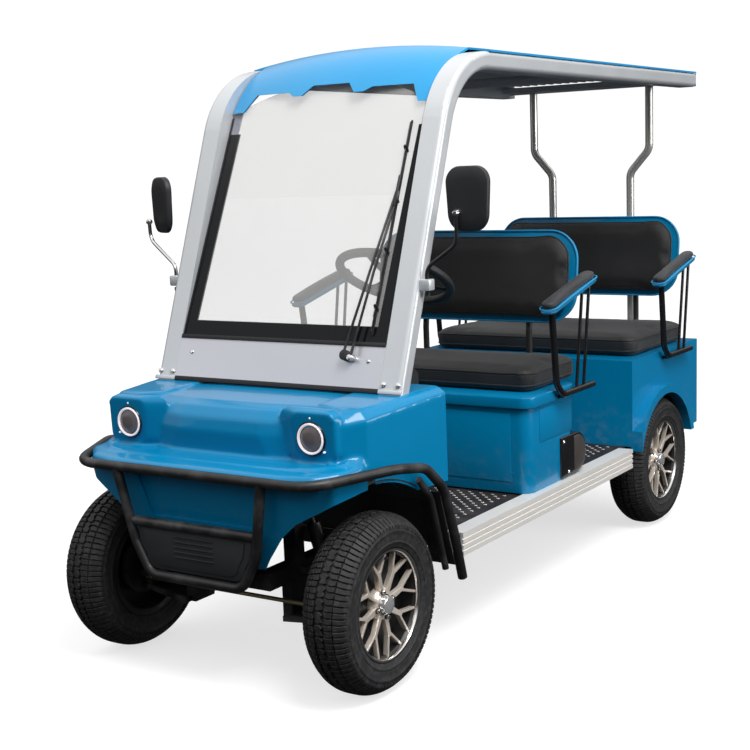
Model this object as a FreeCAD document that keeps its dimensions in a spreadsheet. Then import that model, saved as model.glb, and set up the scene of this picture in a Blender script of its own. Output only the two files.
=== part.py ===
import FreeCAD, Part
import math
import os
import re
import Sketcher
from FreeCAD import Placement, Rotation, Vector
from types import SimpleNamespace

# A golf cart with two bench rows, 12 inch wheels and a roof on two bent hoops.
# Millimetres. X points to the left of the driver, Y to the rear, Z up.
# The origin is on the ground, in the middle of the cart's length and width.

SIZES = {
    # wheels and axles
    "front_axle_y": -1180, "wheelbase": 2090, "wheel_centre_x": 461, "wheel_radius": 266,
    "tyre_width": 150, "tread_width": 120, "tyre_shoulder": 16, "tyre_side_rise": 45,
    "bead_radius": 150, "flange_radius": 165, "flange_wall": 6, "rim_half_width": 66,
    "barrel_radius": 143, "disc_face": 38, "disc_wall": 16, "cap_radius": 30, "cap_length": 20,
    "window_inner_radius": 48, "window_waist_radius": 98, "window_outer_radius": 128,
    "window_half_width": 25,
    "notch_inner_radius": 108, "notch_outer_radius": 136, "notch_inner_half": 8,
    "notch_outer_half": 27, "spoke_count": 8,
    "kingpin_x": 400, "kingpin_radius": 15, "kingpin_half_height": 60, "spindle_radius": 14,
    "brake_radius": 92, "brake_wall": 14, "brake_offset": 24,
    "steer_arm_reach": 90, "steer_arm_inset": 48, "steer_arm_wall": 16, "steer_arm_width": 26,
    "running_gap": 0.3, "overrun": 10,
    # ladder frame
    "frame_tube": 50, "rail_x": 300, "nose_rail_x": 190, "frame_top": 358,
    "frame_front_y": -1335, "frame_step_y": -860, "frame_rear_inset": 25,
    "outrigger_front_y": -690, "outrigger_middle_y": -120, "outrigger_rear_y": 500,
    # floor and sills
    "floor_top": 370, "floor_wall": 12, "floor_half_width": 470, "floor_front_y": -888,
    "sill_outer_x": 530, "sill_top": 375, "sill_height": 75,
    "sill_front_y": -760, "sill_rear_y": 585, "groove_depth": 4, "groove_width": 7,
    "sill_wall": 6,
    # nose
    "skin": 4, "nose_rear_y": -838, "nose_half_width": 530, "nose_front_y": -1292,
    "nose_front_half": 486, "cowl_top": 845, "bonnet_drop": 16, "nose_side_bottom": 560,
    "nose_corner": 120, "bonnet_round": 95, "face_lean": 18, "ledge_top": 700,
    "ledge_bottom": 655, "ledge_front_y": -1408, "ledge_half_width": 508, "ledge_corner": 130,
    "nose_edge_round": 38, "arch_radius": 358, "arch_centre_z": 266, "arch_inner_x": 364,
    "valance_bottom": 372, "valance_bottom_half": 216,
    "valance_front_y": -1390, "valance_bottom_y": -1352, "valance_rear_y": -1215,
    "liner_wall": 4, "front_liner_inner_x": 236, "rear_liner_inner_x": 376,
    "front_liner_angle": 50, "rear_liner_angle": 66,
    # lamps
    "lamp_x": 347, "lamp_z": 759, "lamp_radius": 45, "lamp_depth": 34, "lamp_ring": 9,
    "pod_depth": 26,
    # hoops, roof and glass
    "hoop_outer_x": 475, "hoop_width": 75, "hoop_depth": 58, "hoop_round": 16,
    "hoop_bend": 289, "hoop_bend_y": -407, "hoop_bend_z": 1535, "hoop_lean": 20.7,
    "hoop_overhang": 63, "roof_wall": 7, "roof_crown": 40, "roof_half_width": 474,
    "roof_overhang": 8, "visor_half_width": 396, "visor_drop": 56, "visor_crown": 31, "visor_turn": 58,
    "lip_side_z": 1701, "lip_scoop_z": 1757, "lip_tab_z": 1743, "lip_middle_z": 1774,
    "glass_wall": 5, "glass_bottom_z": 985, "glass_side_z": 1694,
    "glass_crest_z": 1786, "glass_lean": 24.6,
    "panel_bottom_z": 858, "panel_wall": 3, "crossbar_width": 40, "crossbar_height": 22,
    "crossbar_inset": 120,
    "upright_radius": 17, "upright_top_x": 280, "upright_low_x": 190,
    "joggle_top_z": 1540, "joggle_low_z": 1440, "upright_foot_z": 400, "upright_bend": 60,
    # bumper and guard
    "bar_radius": 15, "bar_bend": 90, "bar_front_y": -1424, "bar_front_z": 663,
    "bar_side_x": 556, "bar_corner_x": 470, "bar_side_y": -1262,
    "bar_shoulder_y": -998, "bar_shoulder_z": 615, "bar_rise_y": -908, "bar_rise_z": 545,
    "bar_knee_y": -858, "bar_knee_z": 400, "bar_foot_y": -815, "bar_foot_z": 250,
    "guard_top_x": 258,
    "guard_low_x": 196, "guard_cross_z": 490, "guard_low_z": 330, "guard_foot_x": 150,
    "guard_stay_x": 120,
    "guard_bend": 60, "guard_y": -1408, "guard_plate_wall": 8, "guard_rib": 6,
    # cabin fittings
    "dash_front_y": -990, "dash_rear_y": -770, "dash_top": 905, "dash_bottom": 700,
    "dash_half_width": 392, "dash_wall": 5, "dash_lip": 32, "dash_slope": 40,
    "dash_front_slope": 60, "dash_front_drop": 100,
    "steering_x": 200, "steering_y": -585, "steering_z": 1150, "steering_lean": 30,
    "steering_rim": 185, "steering_grip": 15, "steering_hub": 42, "steering_spoke": 34,
    "steering_spoke_wall": 12, "column_radius": 24, "column_gap": 26,
    "column_pod_radius": 38, "column_pod_length": 96,
    "pedal_width": 60, "pedal_length": 90, "pedal_wall": 8, "pedal_spread": 120,
    # seats
    "seat_box_front_y": -245, "seat_box_rear_y": 115, "seat_box_half_width": 500,
    "seat_box_top": 715, "seat_box_wall": 5, "seat_flange": 14, "seat_flange_height": 40,
    "cushion_side_inset": 10, "cushion_height": 96, "cushion_corner": 60,
    "cushion_edge": 24, "front_cushion_y": -185, "front_cushion_length": 428,
    "rear_cushion_front_inset": 83, "rear_cushion_rear_inset": 35,
    "back_half_width": 436, "back_bottom_z": 912, "back_height": 346, "back_wall": 66,
    "back_corner": 110, "back_edge": 22, "back_lean": 7, "front_back_y": 224,
    "rear_back_inset": 111, "post_radius": 12, "post_x": 230, "post_bend": 40,
    "front_post_z": 655,
    "front_arm_stand_off": 18, "rear_arm_stand_off": 27, "arm_radius": 12, "arm_pad_width": 62,
    "arm_pad_height": 42,
    "arm_pad_length": 372, "arm_pad_rise": 88, "front_arm_y": -160, "rear_arm_inset": 115,
    "arm_pad_z": 985, "arm_bend": 40, "arm_rod_radius": 6, "arm_foot_wall": 8,
    # rear body
    "rear_body_front_y": 642, "rear_body_rear_y": 1365, "rear_body_half_width": 505,
    "rear_body_bottom": 345, "rear_body_top": 715, "rear_body_wall": 5,
    "rear_arch_radius": 282, "flare_width": 34, "flare_outer_x": 548,
    # running gear
    "axle_tube_radius": 32, "axle_tube_half": 396, "gearbox_half_width": 55,
    "gearbox_length": 260, "gearbox_height": 130, "gearbox_reach": 182, "motor_reach": 109,
    "motor_radius": 72, "motor_length": 210,
    "spring_x": 352, "spring_width": 40, "spring_wall": 12, "spring_half_length": 300,
    "spring_sag": 26, "arm_wall": 18, "lower_arm_half": 45, "lower_arm_root": 72,
    "arm_eye_radius": 21, "shock_foot_inset": 72, "shock_radius": 24,
    "shock_rod_radius": 9, "tower_height": 180, "tower_width": 44,
    "battery_half_width": 330, "battery_length": 290, "battery_height": 230,
    # small outside pieces
    "mirror_width": 150, "mirror_height": 190, "mirror_wall": 26, "mirror_x": 622,
    "mirror_z": 1405, "mirror_y": -835, "mirror_stalk_radius": 7, "mirror_clamp_z": 1156,
    "clamp_size": 34, "stalk_rise": 54, "stalk_inset": 45, "stalk_reach": 76, "mirror_corner": 45,
    "wiper_x": 335, "wiper_pivot_x": 262, "wiper_arm_radius": 5, "wiper_blade_width": 14,
    "wiper_pivot_z": 955, "wiper_hinge_z": 1420, "wiper_blade_top_z": 1640,
    "wiper_blade_bottom_z": 1010, "wiper_stand_off": 26,
    "side_box_front_y": -10, "side_box_length": 215, "side_box_height": 160,
    "side_box_inner_x": 392, "side_box_outer_x": 512,
    "tail_lamp_x": 430, "tail_lamp_z": 640, "tail_lamp_radius": 38, "tail_lamp_depth": 18,
    "tow_plate_width": 90, "tow_plate_length": 110, "tow_plate_wall": 12,
    "tow_bore_radius": 12, "tow_hole_inset": 34,
}

doc = FreeCAD.newDocument("GolfCart")
sheet = doc.addObject("Spreadsheet::Sheet", "Sizes")
for row, (alias, value) in enumerate(SIZES.items(), start=1):
    sheet.set(f"A{row}", alias)
    sheet.set(f"B{row}", str(value))
    sheet.setAlias(f"B{row}", alias)
doc.recompute()

s = SimpleNamespace(**{alias: float(sheet.get(alias)) for alias in SIZES})
PARTS = {}
REAR_AXLE_Y = s.front_axle_y + s.wheelbase
HOOP_REAR_Y = s.rear_body_rear_y + s.hoop_overhang
ROOF_REAR_Y = HOOP_REAR_Y + s.roof_overhang
FRAME_REAR_Y = s.rear_body_rear_y - s.frame_rear_inset
REAR_CUSHION_Y = s.rear_body_front_y + s.rear_cushion_front_inset
REAR_BACK_Y = s.rear_body_rear_y - s.rear_back_inset
X_AXIS = Vector(1, 0, 0)
Y_AXIS = Vector(0, 1, 0)
Z_AXIS = Vector(0, 0, 1)


def in_sheet(formula):
    """Turn plain size names into references to the sheet."""
    return re.sub(r"[a-z]\w*",
                  lambda word: f"Sizes.{word.group()}" if word.group() in SIZES else word.group(), formula)


def bind(item, formulas):
    """Bind properties of an object to formulas of sheet sizes."""
    for name, formula in formulas.items():
        item.setExpression(name, in_sheet(formula))


def place(item, x="0", y="0", z="0"):
    bind(item, {"Placement.Base.x": x, "Placement.Base.y": y, "Placement.Base.z": z})


def keep(item, node):
    """Name a finished sub-part after its node."""
    item.Label = node
    PARTS[node] = item
    return item


def box(name, length, width, height, x, y, z):
    """A block with its lowest corner at x, y, z."""
    item = doc.addObject("Part::Box", name)
    bind(item, {"Length": length, "Width": width, "Height": height})
    place(item, x, y, z)
    return item


def rod(name, radius, length, x, y, z, turn=None):
    """A cylinder from x, y, z along Z, or along the axis that the turn gives."""
    item = doc.addObject("Part::Cylinder", name)
    bind(item, {"Radius": radius, "Height": length})
    if turn:
        item.Placement = Placement(Vector(), turn)
    place(item, x, y, z)
    return item


ALONG_X = Rotation(Y_AXIS, 90)
ALONG_Y = Rotation(X_AXIS, -90)


def fuse(name, shapes):
    item = doc.addObject("Part::MultiFuse", name)
    item.Shapes = shapes
    item.Refine = True
    return item


def cut(name, base, tool):
    item = doc.addObject("Part::Cut", name)
    item.Base = base
    item.Tool = tool
    return item


def feature(name, shape):
    """A shape that is worked out in code from the sheet's sizes."""
    item = doc.addObject("Part::Feature", name)
    item.Shape = shape
    item.Placement = Placement()
    return item


def body(name):
    return doc.addObject("PartDesign::Body", name)


def outline(owner, name, role, loops, offset=None, turn=0):
    """A sketch of closed loops on an origin plane, each corner held by two sheet formulas."""
    sketch = owner.newObject("Sketcher::SketchObject", name)
    plane = next(item for item in owner.Origin.OriginFeatures if item.Role == role)
    sketch.AttachmentSupport = [(plane, "")]
    sketch.MapMode = "FlatFace"
    sketch.AttachmentOffset = Placement(Vector(), Rotation(Z_AXIS, turn))
    if offset:
        sketch.setExpression("AttachmentOffset.Base.z", in_sheet(offset))
    first = 0
    for points in loops:
        count = len(points)
        ring = [Vector(math.cos(math.tau * i / count), math.sin(math.tau * i / count), 0)
                for i in range(count)]
        for i in range(count):
            sketch.addGeometry(Part.LineSegment(ring[i], ring[(i + 1) % count]))
        for i in range(count):
            sketch.addConstraint(Sketcher.Constraint("Coincident", first + i, 2, first + (i + 1) % count, 1))
        for i, (across, up) in enumerate(points):
            for kind, formula, start in (("DistanceX", across, ring[i].x), ("DistanceY", up, ring[i].y)):
                index = sketch.addConstraint(Sketcher.Constraint(kind, -1, 1, first + i, 1, start))
                sketch.setExpression(f"Constraints[{index}]", in_sheet(formula))
        first += count
    return sketch


def pad(owner, name, sketch, length, both_ways=False, backwards=False):
    item = owner.newObject("PartDesign::Pad", name)
    item.Profile = sketch
    item.Midplane = both_ways
    item.Reversed = backwards
    item.setExpression("Length", in_sheet(length))
    return item


def pocket(owner, name, sketch, length, both_ways=False, backwards=False):
    item = owner.newObject("PartDesign::Pocket", name)
    item.Profile = sketch
    item.Midplane = both_ways
    item.Reversed = backwards
    item.setExpression("Length", in_sheet(length))
    return item


def turned(owner, name, sketch, axis="H_Axis"):
    item = owner.newObject("PartDesign::Revolution", name)
    item.Profile = sketch
    item.ReferenceAxis = (sketch, [axis])
    item.Angle = 360
    return item


def round_edges(owner, name, base, radius, wanted):
    """Round the edges of the base for which wanted(edge) is true."""
    doc.recompute()
    names = [f"Edge{i + 1}" for i, edge in enumerate(base.Shape.Edges) if wanted(edge)]
    item = owner.newObject("PartDesign::Fillet", name)
    item.Base = (base, names)
    item.setExpression("Radius", in_sheet(radius))
    return item


def runs_along(axis):
    """A test for straight edges that run along an axis."""
    def test(edge):
        if edge.Curve.TypeId != "Part::GeomLine":
            return False
        return abs(abs(edge.Curve.Direction.dot(axis)) - 1) < 1e-6
    return test


# The share of a run that the bend at either end of it may take
BEND_SHARE = 0.48


def bent_tube(points, radius, bend):
    """A round bar along straight runs that are joined by tangent arcs."""
    edges = []
    start = points[0]
    for before, corner, after in zip(points, points[1:], points[2:]):
        incoming = (corner - before).normalize()
        outgoing = (after - corner).normalize()
        half_turn = incoming.getAngle(outgoing) / 2
        reach = min(bend * math.tan(half_turn),
                    BEND_SHARE * min((corner - before).Length, (after - corner).Length))
        arc_radius = reach / math.tan(half_turn)
        enter = corner - incoming * reach
        leave = corner + outgoing * reach
        inward = (outgoing - incoming).normalize()
        middle = corner + inward * (arc_radius / math.cos(half_turn) - arc_radius)
        edges.append(Part.LineSegment(start, enter).toShape())
        edges.append(Part.Arc(enter, middle, leave).toShape())
        start = leave
    edges.append(Part.LineSegment(start, points[-1]).toShape())
    path = Part.Wire(edges)
    section = Part.Wire(Part.makeCircle(radius, points[0], points[1] - points[0]))
    return path.makePipeShell([section], True, False)


def mirrored(shape):
    return shape.mirror(Vector(), X_AXIS)


def polygon(points):
    return Part.Face(Part.makePolygon(list(points) + [points[0]]))


def block(low, high):
    return Part.makeBox(high.x - low.x, high.y - low.y, high.z - low.z, low)


# Wheels
def make_tyre(node):
    tyre = body(node)
    half = "tyre_width / 2"
    profile = [
        ("-(rim_half_width - flange_wall - running_gap)", "bead_radius"),
        ("-(rim_half_width - flange_wall - running_gap)", "flange_radius + running_gap"),
        (f"-{half}", "flange_radius + tyre_side_rise"),
        (f"-{half}", "wheel_radius - tyre_shoulder"),
        ("-tread_width / 2", "wheel_radius"),
        ("tread_width / 2", "wheel_radius"),
        (half, "wheel_radius - tyre_shoulder"),
        (half, "flange_radius + tyre_side_rise"),
        ("rim_half_width - flange_wall - running_gap", "flange_radius + running_gap"),
        ("rim_half_width - flange_wall - running_gap", "bead_radius"),
    ]
    turned(tyre, f"{node}_turned", outline(tyre, f"{node}_profile", "XY_Plane", [profile]))
    return keep(tyre, node)


def make_rim(node):
    rim = body(node)
    profile = [
        ("-rim_half_width", "barrel_radius"), ("-rim_half_width", "flange_radius"),
        ("flange_wall - rim_half_width", "flange_radius"), ("flange_wall - rim_half_width", "bead_radius"),
        ("rim_half_width - flange_wall", "bead_radius"), ("rim_half_width - flange_wall", "flange_radius"),
        ("rim_half_width", "flange_radius"), ("rim_half_width", "barrel_radius"),
        ("disc_face", "barrel_radius"), ("disc_face", "cap_radius"),
        ("disc_face + cap_length", "cap_radius"), ("disc_face + cap_length", "0"),
        ("disc_face - disc_wall", "0"), ("disc_face - disc_wall", "barrel_radius"),
    ]
    blank = turned(rim, f"{node}_blank", outline(rim, f"{node}_profile", "XY_Plane", [profile]))
    window = [
        ("0", "window_inner_radius"), ("window_half_width", "window_waist_radius"),
        ("0", "window_outer_radius"), ("-window_half_width", "window_waist_radius"),
    ]
    notch = [
        ("-notch_inner_half", "notch_inner_radius"), ("notch_inner_half", "notch_inner_radius"),
        ("notch_outer_half", "notch_outer_radius"), ("-notch_outer_half", "notch_outer_radius"),
    ]
    for name, loop, turn in (("window", window, 0), ("notch", notch, 180 / s.spoke_count)):
        sketch = outline(rim, f"{node}_{name}_outline", "YZ_Plane", [loop], turn=turn)
        hole = pocket(rim, f"{node}_{name}", sketch, "2 * tyre_width", both_ways=True)
        doc.recompute()
        ring = rim.newObject("PartDesign::PolarPattern", f"{node}_{name}_ring")
        ring.Originals = [hole]
        ring.Axis = (next(item for item in rim.Origin.OriginFeatures if item.Role == "X_Axis"), [""])
        ring.Angle = 360
        ring.setExpression("Occurrences", in_sheet("spoke_count"))
        rim.Tip = ring
    return keep(rim, node)


for side, sign in (("left", 1), ("right", -1)):
    for end, axle_y in (("front", "front_axle_y"), ("rear", "front_axle_y + wheelbase")):
        for item in (make_tyre(f"tyre_{end}_{side}"), make_rim(f"rim_{end}_{side}")):
            item.Placement = Placement(Vector(), Rotation(Z_AXIS, 0 if sign > 0 else 180))
            place(item, f"{sign} * wheel_centre_x", axle_y, "wheel_radius")


# Steering knuckles: kingpin post, spindle, brake disc and forward steering arm
def knuckle(node, sign):
    turn = Rotation(Y_AXIS, 90 * sign)
    post = rod(f"{node}_post", "kingpin_radius", "2 * kingpin_half_height",
               f"{sign} * kingpin_x", "front_axle_y", "wheel_radius - kingpin_half_height")
    spindle = rod(f"{node}_spindle", "spindle_radius",
                  "wheel_centre_x + disc_face - disc_wall - running_gap - kingpin_x",
                  f"{sign} * kingpin_x", "front_axle_y", "wheel_radius", turn)
    disc = rod(f"{node}_disc", "brake_radius", "brake_wall",
               f"{sign} * (kingpin_x + brake_offset)", "front_axle_y", "wheel_radius", turn)
    low_x = "-kingpin_x" if sign < 0 else "kingpin_x - steer_arm_inset"
    arm = box(f"{node}_arm", "steer_arm_inset", "steer_arm_width", "steer_arm_wall",
              low_x, "front_axle_y - steer_arm_width / 2", "wheel_radius - steer_arm_wall / 2")
    reach_x = f"{sign} * (kingpin_x - steer_arm_inset) - steer_arm_width / 2"
    reach = box(f"{node}_reach", "steer_arm_width", "steer_arm_reach", "steer_arm_wall",
                reach_x, "front_axle_y - steer_arm_reach + steer_arm_width / 2",
                "wheel_radius - steer_arm_wall / 2")
    return keep(fuse(f"{node}_whole", [post, spindle, disc, arm, reach]), node)


knuckle("knuckle_left", 1)
knuckle("knuckle_right", -1)

# The track rod between the two steering arms, hung under their forward ends
rod_y = "front_axle_y - steer_arm_reach + steer_arm_width"
track_bar = rod("track_bar", "arm_rod_radius + 2 * running_gap", "2 * (kingpin_x - steer_arm_inset)",
                "steer_arm_inset - kingpin_x", rod_y,
                "wheel_radius - steer_arm_wall / 2 - arm_rod_radius - 3 * running_gap", ALONG_X)
keep(track_bar, "track_rod")


# Ladder frame under the floor, and the narrow nose frame with two shock towers ahead of it
half_tube = "frame_tube / 2"
frame_bottom = "frame_top - frame_tube"
frame_rear_y = "(rear_body_rear_y - frame_rear_inset)"
frame_bars = []
nose_bars = [box("cross_front", "2 * nose_rail_x", "frame_tube", "frame_tube",
                 "-nose_rail_x", "frame_front_y", frame_bottom)]
for sign, name in ((1, "left"), (-1, "right")):
    frame_bars.append(box(f"rail_{name}", "frame_tube", f"{frame_rear_y} - frame_step_y", "frame_tube",
                          f"{sign} * rail_x - {half_tube}", "frame_step_y", frame_bottom))
    nose_bars.append(box(f"nose_rail_{name}", "frame_tube", "frame_step_y - frame_front_y", "frame_tube",
                         f"{sign} * nose_rail_x - {half_tube}", "frame_front_y", frame_bottom))
    nose_bars.append(box(f"tower_{name}", "tower_width", "tower_width", "tower_height",
                         f"{sign} * nose_rail_x - tower_width / 2", "front_axle_y - tower_width / 2",
                         "frame_top"))
for name, y in (("step", "frame_step_y"), ("rear", f"{frame_rear_y} - frame_tube")):
    frame_bars.append(box(f"cross_{name}", "2 * rail_x", "frame_tube", "frame_tube",
                          "-rail_x", y, frame_bottom))
for name in ("front", "middle", "rear"):
    frame_bars.append(box(f"outrigger_{name}", "2 * floor_half_width", "frame_tube", "frame_tube",
                          "-floor_half_width", f"outrigger_{name}_y", frame_bottom))
keep(fuse("frame_whole", frame_bars), "chassis_frame")
keep(fuse("nose_frame_whole", nose_bars), "nose_frame")

floor = body("floor_pan")
floor_rear_y = "rear_body_front_y + rear_body_wall"
floor_plan = [("-floor_half_width", "floor_front_y"), ("floor_half_width", "floor_front_y"),
              ("floor_half_width", floor_rear_y), ("-floor_half_width", floor_rear_y)]
pad(floor, "floor_plate", outline(floor, "floor_plan", "XY_Plane", [floor_plan], "floor_top - floor_wall"),
    "floor_wall")
keep(floor, "floor_pan")


# Sills: a hollow step section with three grooves along its outer face
def make_sill(node, sign):
    sill = body(node)
    top = "sill_top"
    low = "sill_top - sill_height"
    section = [(f"{sign} * floor_half_width", low), (f"{sign} * sill_outer_x", low)]
    for k in range(3):
        middle = f"sill_top - sill_height * {3 - k} / 4"
        section += [(f"{sign} * sill_outer_x", f"{middle} - groove_width / 2"),
                    (f"{sign} * (sill_outer_x - groove_depth)", f"{middle} - groove_width / 2"),
                    (f"{sign} * (sill_outer_x - groove_depth)", f"{middle} + groove_width / 2"),
                    (f"{sign} * sill_outer_x", f"{middle} + groove_width / 2")]
    section += [(f"{sign} * sill_outer_x", top), (f"{sign} * floor_half_width", top)]
    hollow = [(f"{sign} * (floor_half_width + sill_wall)", f"{low} + sill_wall"),
              (f"{sign} * (sill_outer_x - groove_depth - sill_wall)", f"{low} + sill_wall"),
              (f"{sign} * (sill_outer_x - groove_depth - sill_wall)", f"{top} - sill_wall"),
              (f"{sign} * (floor_half_width + sill_wall)", f"{top} - sill_wall")]
    sketch = outline(sill, f"{node}_section", "XZ_Plane", [section, hollow], "-sill_rear_y")
    pad(sill, f"{node}_bar", sketch, "sill_rear_y - sill_front_y")
    return keep(sill, node)


make_sill("sill_left", 1)
make_sill("sill_right", -1)


# Nose: bonnet, side panels and lamp face in one hollow moulding
def nose_block(inset):
    """The solid form of the nose, drawn in by a wall's thickness."""
    top = s.cowl_top - inset
    front = s.nose_front_y + inset
    bend = s.bonnet_round - inset
    low = s.nose_side_bottom - s.overrun
    rear = s.nose_rear_y + s.overrun
    foot = front - s.face_lean
    arc_middle = Vector(0, front + bend * (1 - math.cos(math.pi / 4)),
                        top - s.bonnet_drop - bend * (1 - math.sin(math.pi / 4)))
    side = Part.Wire([
        Part.makeLine(Vector(0, rear, low), Vector(0, rear, top)),
        Part.makeLine(Vector(0, rear, top), Vector(0, front + bend, top - s.bonnet_drop)),
        Part.Arc(Vector(0, front + bend, top - s.bonnet_drop), arc_middle,
                 Vector(0, front, top - s.bonnet_drop - bend)).toShape(),
        Part.makeLine(Vector(0, front, top - s.bonnet_drop - bend), Vector(0, foot, low)),
        Part.makeLine(Vector(0, foot, low), Vector(0, rear, low)),
    ])
    side_form = Part.Face(side).extrude(Vector(2 * s.nose_half_width, 0, 0))
    side_form.translate(Vector(-s.nose_half_width, 0, 0))
    rings = [round_topped(half - inset, y, low, s.cowl_top - inset, s.nose_edge_round - inset)
             for half, y in ((s.nose_half_width, rear), (s.nose_front_half, foot))]
    long_form = Part.makeLoft(rings, True, True)
    plan = plan_form(s.nose_front_half + s.nose_corner - inset, s.nose_front_half - inset,
                     rear, foot, s.nose_corner - inset, low, s.cowl_top)
    return side_form.common(long_form).common(plan)


def round_topped(half, y, low_z, high_z, corner):
    """An upright outline across the cart with two round top corners."""
    diagonal = corner * (1 - math.sqrt(0.5))
    left, right = -half, half
    edges = [
        Part.makeLine(Vector(left, y, low_z), Vector(right, y, low_z)),
        Part.makeLine(Vector(right, y, low_z), Vector(right, y, high_z - corner)),
        Part.Arc(Vector(right, y, high_z - corner), Vector(right - diagonal, y, high_z - diagonal),
                 Vector(right - corner, y, high_z)).toShape(),
        Part.makeLine(Vector(right - corner, y, high_z), Vector(left + corner, y, high_z)),
        Part.Arc(Vector(left + corner, y, high_z), Vector(left + diagonal, y, high_z - diagonal),
                 Vector(left, y, high_z - corner)).toShape(),
        Part.makeLine(Vector(left, y, high_z - corner), Vector(left, y, low_z)),
    ]
    return Part.Wire(edges)


def plan_form(rear_half, front_half, rear_y, front_y, corner, low_z, high_z):
    """A block whose front corners are round, seen from above."""
    face = polygon([Vector(-rear_half, rear_y, low_z), Vector(rear_half, rear_y, low_z),
                    Vector(front_half, front_y, low_z), Vector(-front_half, front_y, low_z)])
    form = face.extrude(Vector(0, 0, high_z - low_z))
    upright = [edge for edge in form.Edges
               if abs(edge.tangentAt(edge.FirstParameter).z) > 0.99
               and edge.CenterOfMass.y < (rear_y + front_y) / 2]
    return form.makeFillet(corner, upright)


def arch_cut(radius, inner_x, outer_x):
    """A round clearance over both front wheels."""
    hole = Part.makeCylinder(radius, outer_x - inner_x, Vector(inner_x, s.front_axle_y, s.arch_centre_z),
                             X_AXIS)
    return hole.fuse(mirrored(hole))


def make_nose():
    outer = nose_block(0)
    shell = outer.cut(nose_block(s.skin))
    low = s.ledge_top
    keep_box = block(Vector(-s.nose_half_width, s.ledge_front_y, low),
                     Vector(s.nose_half_width, s.nose_rear_y, s.cowl_top))
    side_box_low = block(Vector(-s.nose_half_width, s.front_axle_y, s.nose_side_bottom),
                         Vector(s.nose_half_width, s.nose_rear_y, low))
    shell = shell.common(keep_box.fuse(side_box_low))
    shell = shell.cut(arch_cut(s.arch_radius, s.arch_inner_x, s.nose_half_width + s.overrun))
    ledge_outer = plan_form(s.ledge_half_width, s.ledge_half_width, s.front_axle_y + s.overrun,
                            s.ledge_front_y,
                            s.ledge_corner, s.ledge_bottom, s.ledge_top)
    ledge_inner = plan_form(s.ledge_half_width - s.skin, s.ledge_half_width - s.skin,
                            s.front_axle_y + 2 * s.overrun, s.ledge_front_y + s.skin,
                            s.ledge_corner - s.skin, s.ledge_bottom - s.overrun, s.ledge_top - s.skin)
    ledge = ledge_outer.cut(ledge_inner).cut(nose_block(s.skin))
    whole = shell.fuse(ledge).removeSplitter()
    room = s.dash_half_width + s.running_gap
    whole = whole.cut(block(Vector(-room, s.dash_front_y - s.running_gap, s.ledge_top),
                            Vector(room, s.nose_rear_y + s.overrun * 2, s.cowl_top + s.overrun)))
    for sign in (1, -1):
        whole = whole.cut(Part.makeCylinder(s.lamp_radius, s.pod_depth * 4,
                                            Vector(sign * s.lamp_x, s.nose_front_y - s.pod_depth * 2,
                                                   s.lamp_z),
                                            Y_AXIS))
    return whole


keep(feature("nose_shell", make_nose()), "front_body")


def make_valance():
    """The tapering panel below the ledge, hollow and open at the rear."""
    top_half = s.ledge_half_width - s.skin - s.running_gap
    corner = s.ledge_corner - s.skin
    top_z = s.ledge_bottom + s.overrun

    def ring(half, front, z, corner, inset):
        slab = plan_form(half - inset, half - inset, s.valance_rear_y, front + inset, corner - inset, z,
                         z + s.skin)
        return min(slab.Faces, key=lambda face: face.CenterOfMass.z).OuterWire

    def form(inset, low):
        return Part.makeLoft([ring(s.valance_bottom_half, s.valance_bottom_y, low, corner / 2, inset),
                              ring(top_half, s.valance_front_y, top_z + inset, corner, inset)], True, True)
    panel = form(0, s.valance_bottom).cut(form(s.skin, s.valance_bottom + s.skin))
    return panel.cut(arch_cut(s.arch_radius, s.front_liner_inner_x, s.nose_half_width))


keep(feature("valance_shell", make_valance()), "front_valance")


# Black liners over the front and rear wheels
def make_liners():
    def liner(axle_y, radius, inner_x, outer_x, half_angle, front_y):
        centre = Vector(inner_x, axle_y, s.wheel_radius)
        ring = Part.makeCylinder(radius + s.liner_wall, outer_x - inner_x, centre, X_AXIS)
        ring = ring.cut(Part.makeCylinder(radius, outer_x - inner_x, centre, X_AXIS))
        rise = radius * math.cos(math.radians(half_angle))
        window = block(Vector(inner_x, front_y, s.wheel_radius + rise),
                       Vector(outer_x, axle_y + radius, s.wheel_radius + radius + s.liner_wall))
        return ring.common(window)

    margin = s.skin + s.running_gap
    inside_nose = polygon([Vector(0, s.nose_rear_y, 0), Vector(s.nose_half_width - margin, s.nose_rear_y, 0),
                           Vector(s.nose_front_half - margin, s.nose_front_y, 0),
                           Vector(0, s.nose_front_y, 0)])
    front = liner(s.front_axle_y, s.arch_radius + s.running_gap, s.front_liner_inner_x, s.nose_half_width,
                  s.front_liner_angle, s.valance_rear_y + s.running_gap)
    front = front.common(inside_nose.extrude(Vector(0, 0, s.cowl_top)))
    rear = liner(REAR_AXLE_Y, s.rear_arch_radius - s.liner_wall - s.running_gap, s.rear_liner_inner_x,
                 s.rear_body_half_width, s.rear_liner_angle, s.rear_body_front_y)
    return Part.Compound([front, mirrored(front), rear, mirrored(rear)])


keep(feature("liners", make_liners()), "arch_liners")


# Lamps
def make_lamps():
    depth = s.pod_depth
    face_y = s.nose_front_y - depth
    lens = Part.makeCylinder(s.lamp_radius - s.running_gap, s.lamp_depth + depth,
                             Vector(s.lamp_x, face_y, s.lamp_z), Y_AXIS)
    dish = Part.makeCylinder(s.lamp_radius - s.lamp_ring, s.lamp_ring, Vector(s.lamp_x, face_y, s.lamp_z),
                             Y_AXIS)
    lamp = lens.cut(dish)
    return Part.Compound([lamp, mirrored(lamp)])


keep(feature("lamps", make_lamps()), "headlights")


# Roof hoops: one bent section each side from the cowl to the rear of the roof
LEAN = math.radians(s.hoop_lean)


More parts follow.
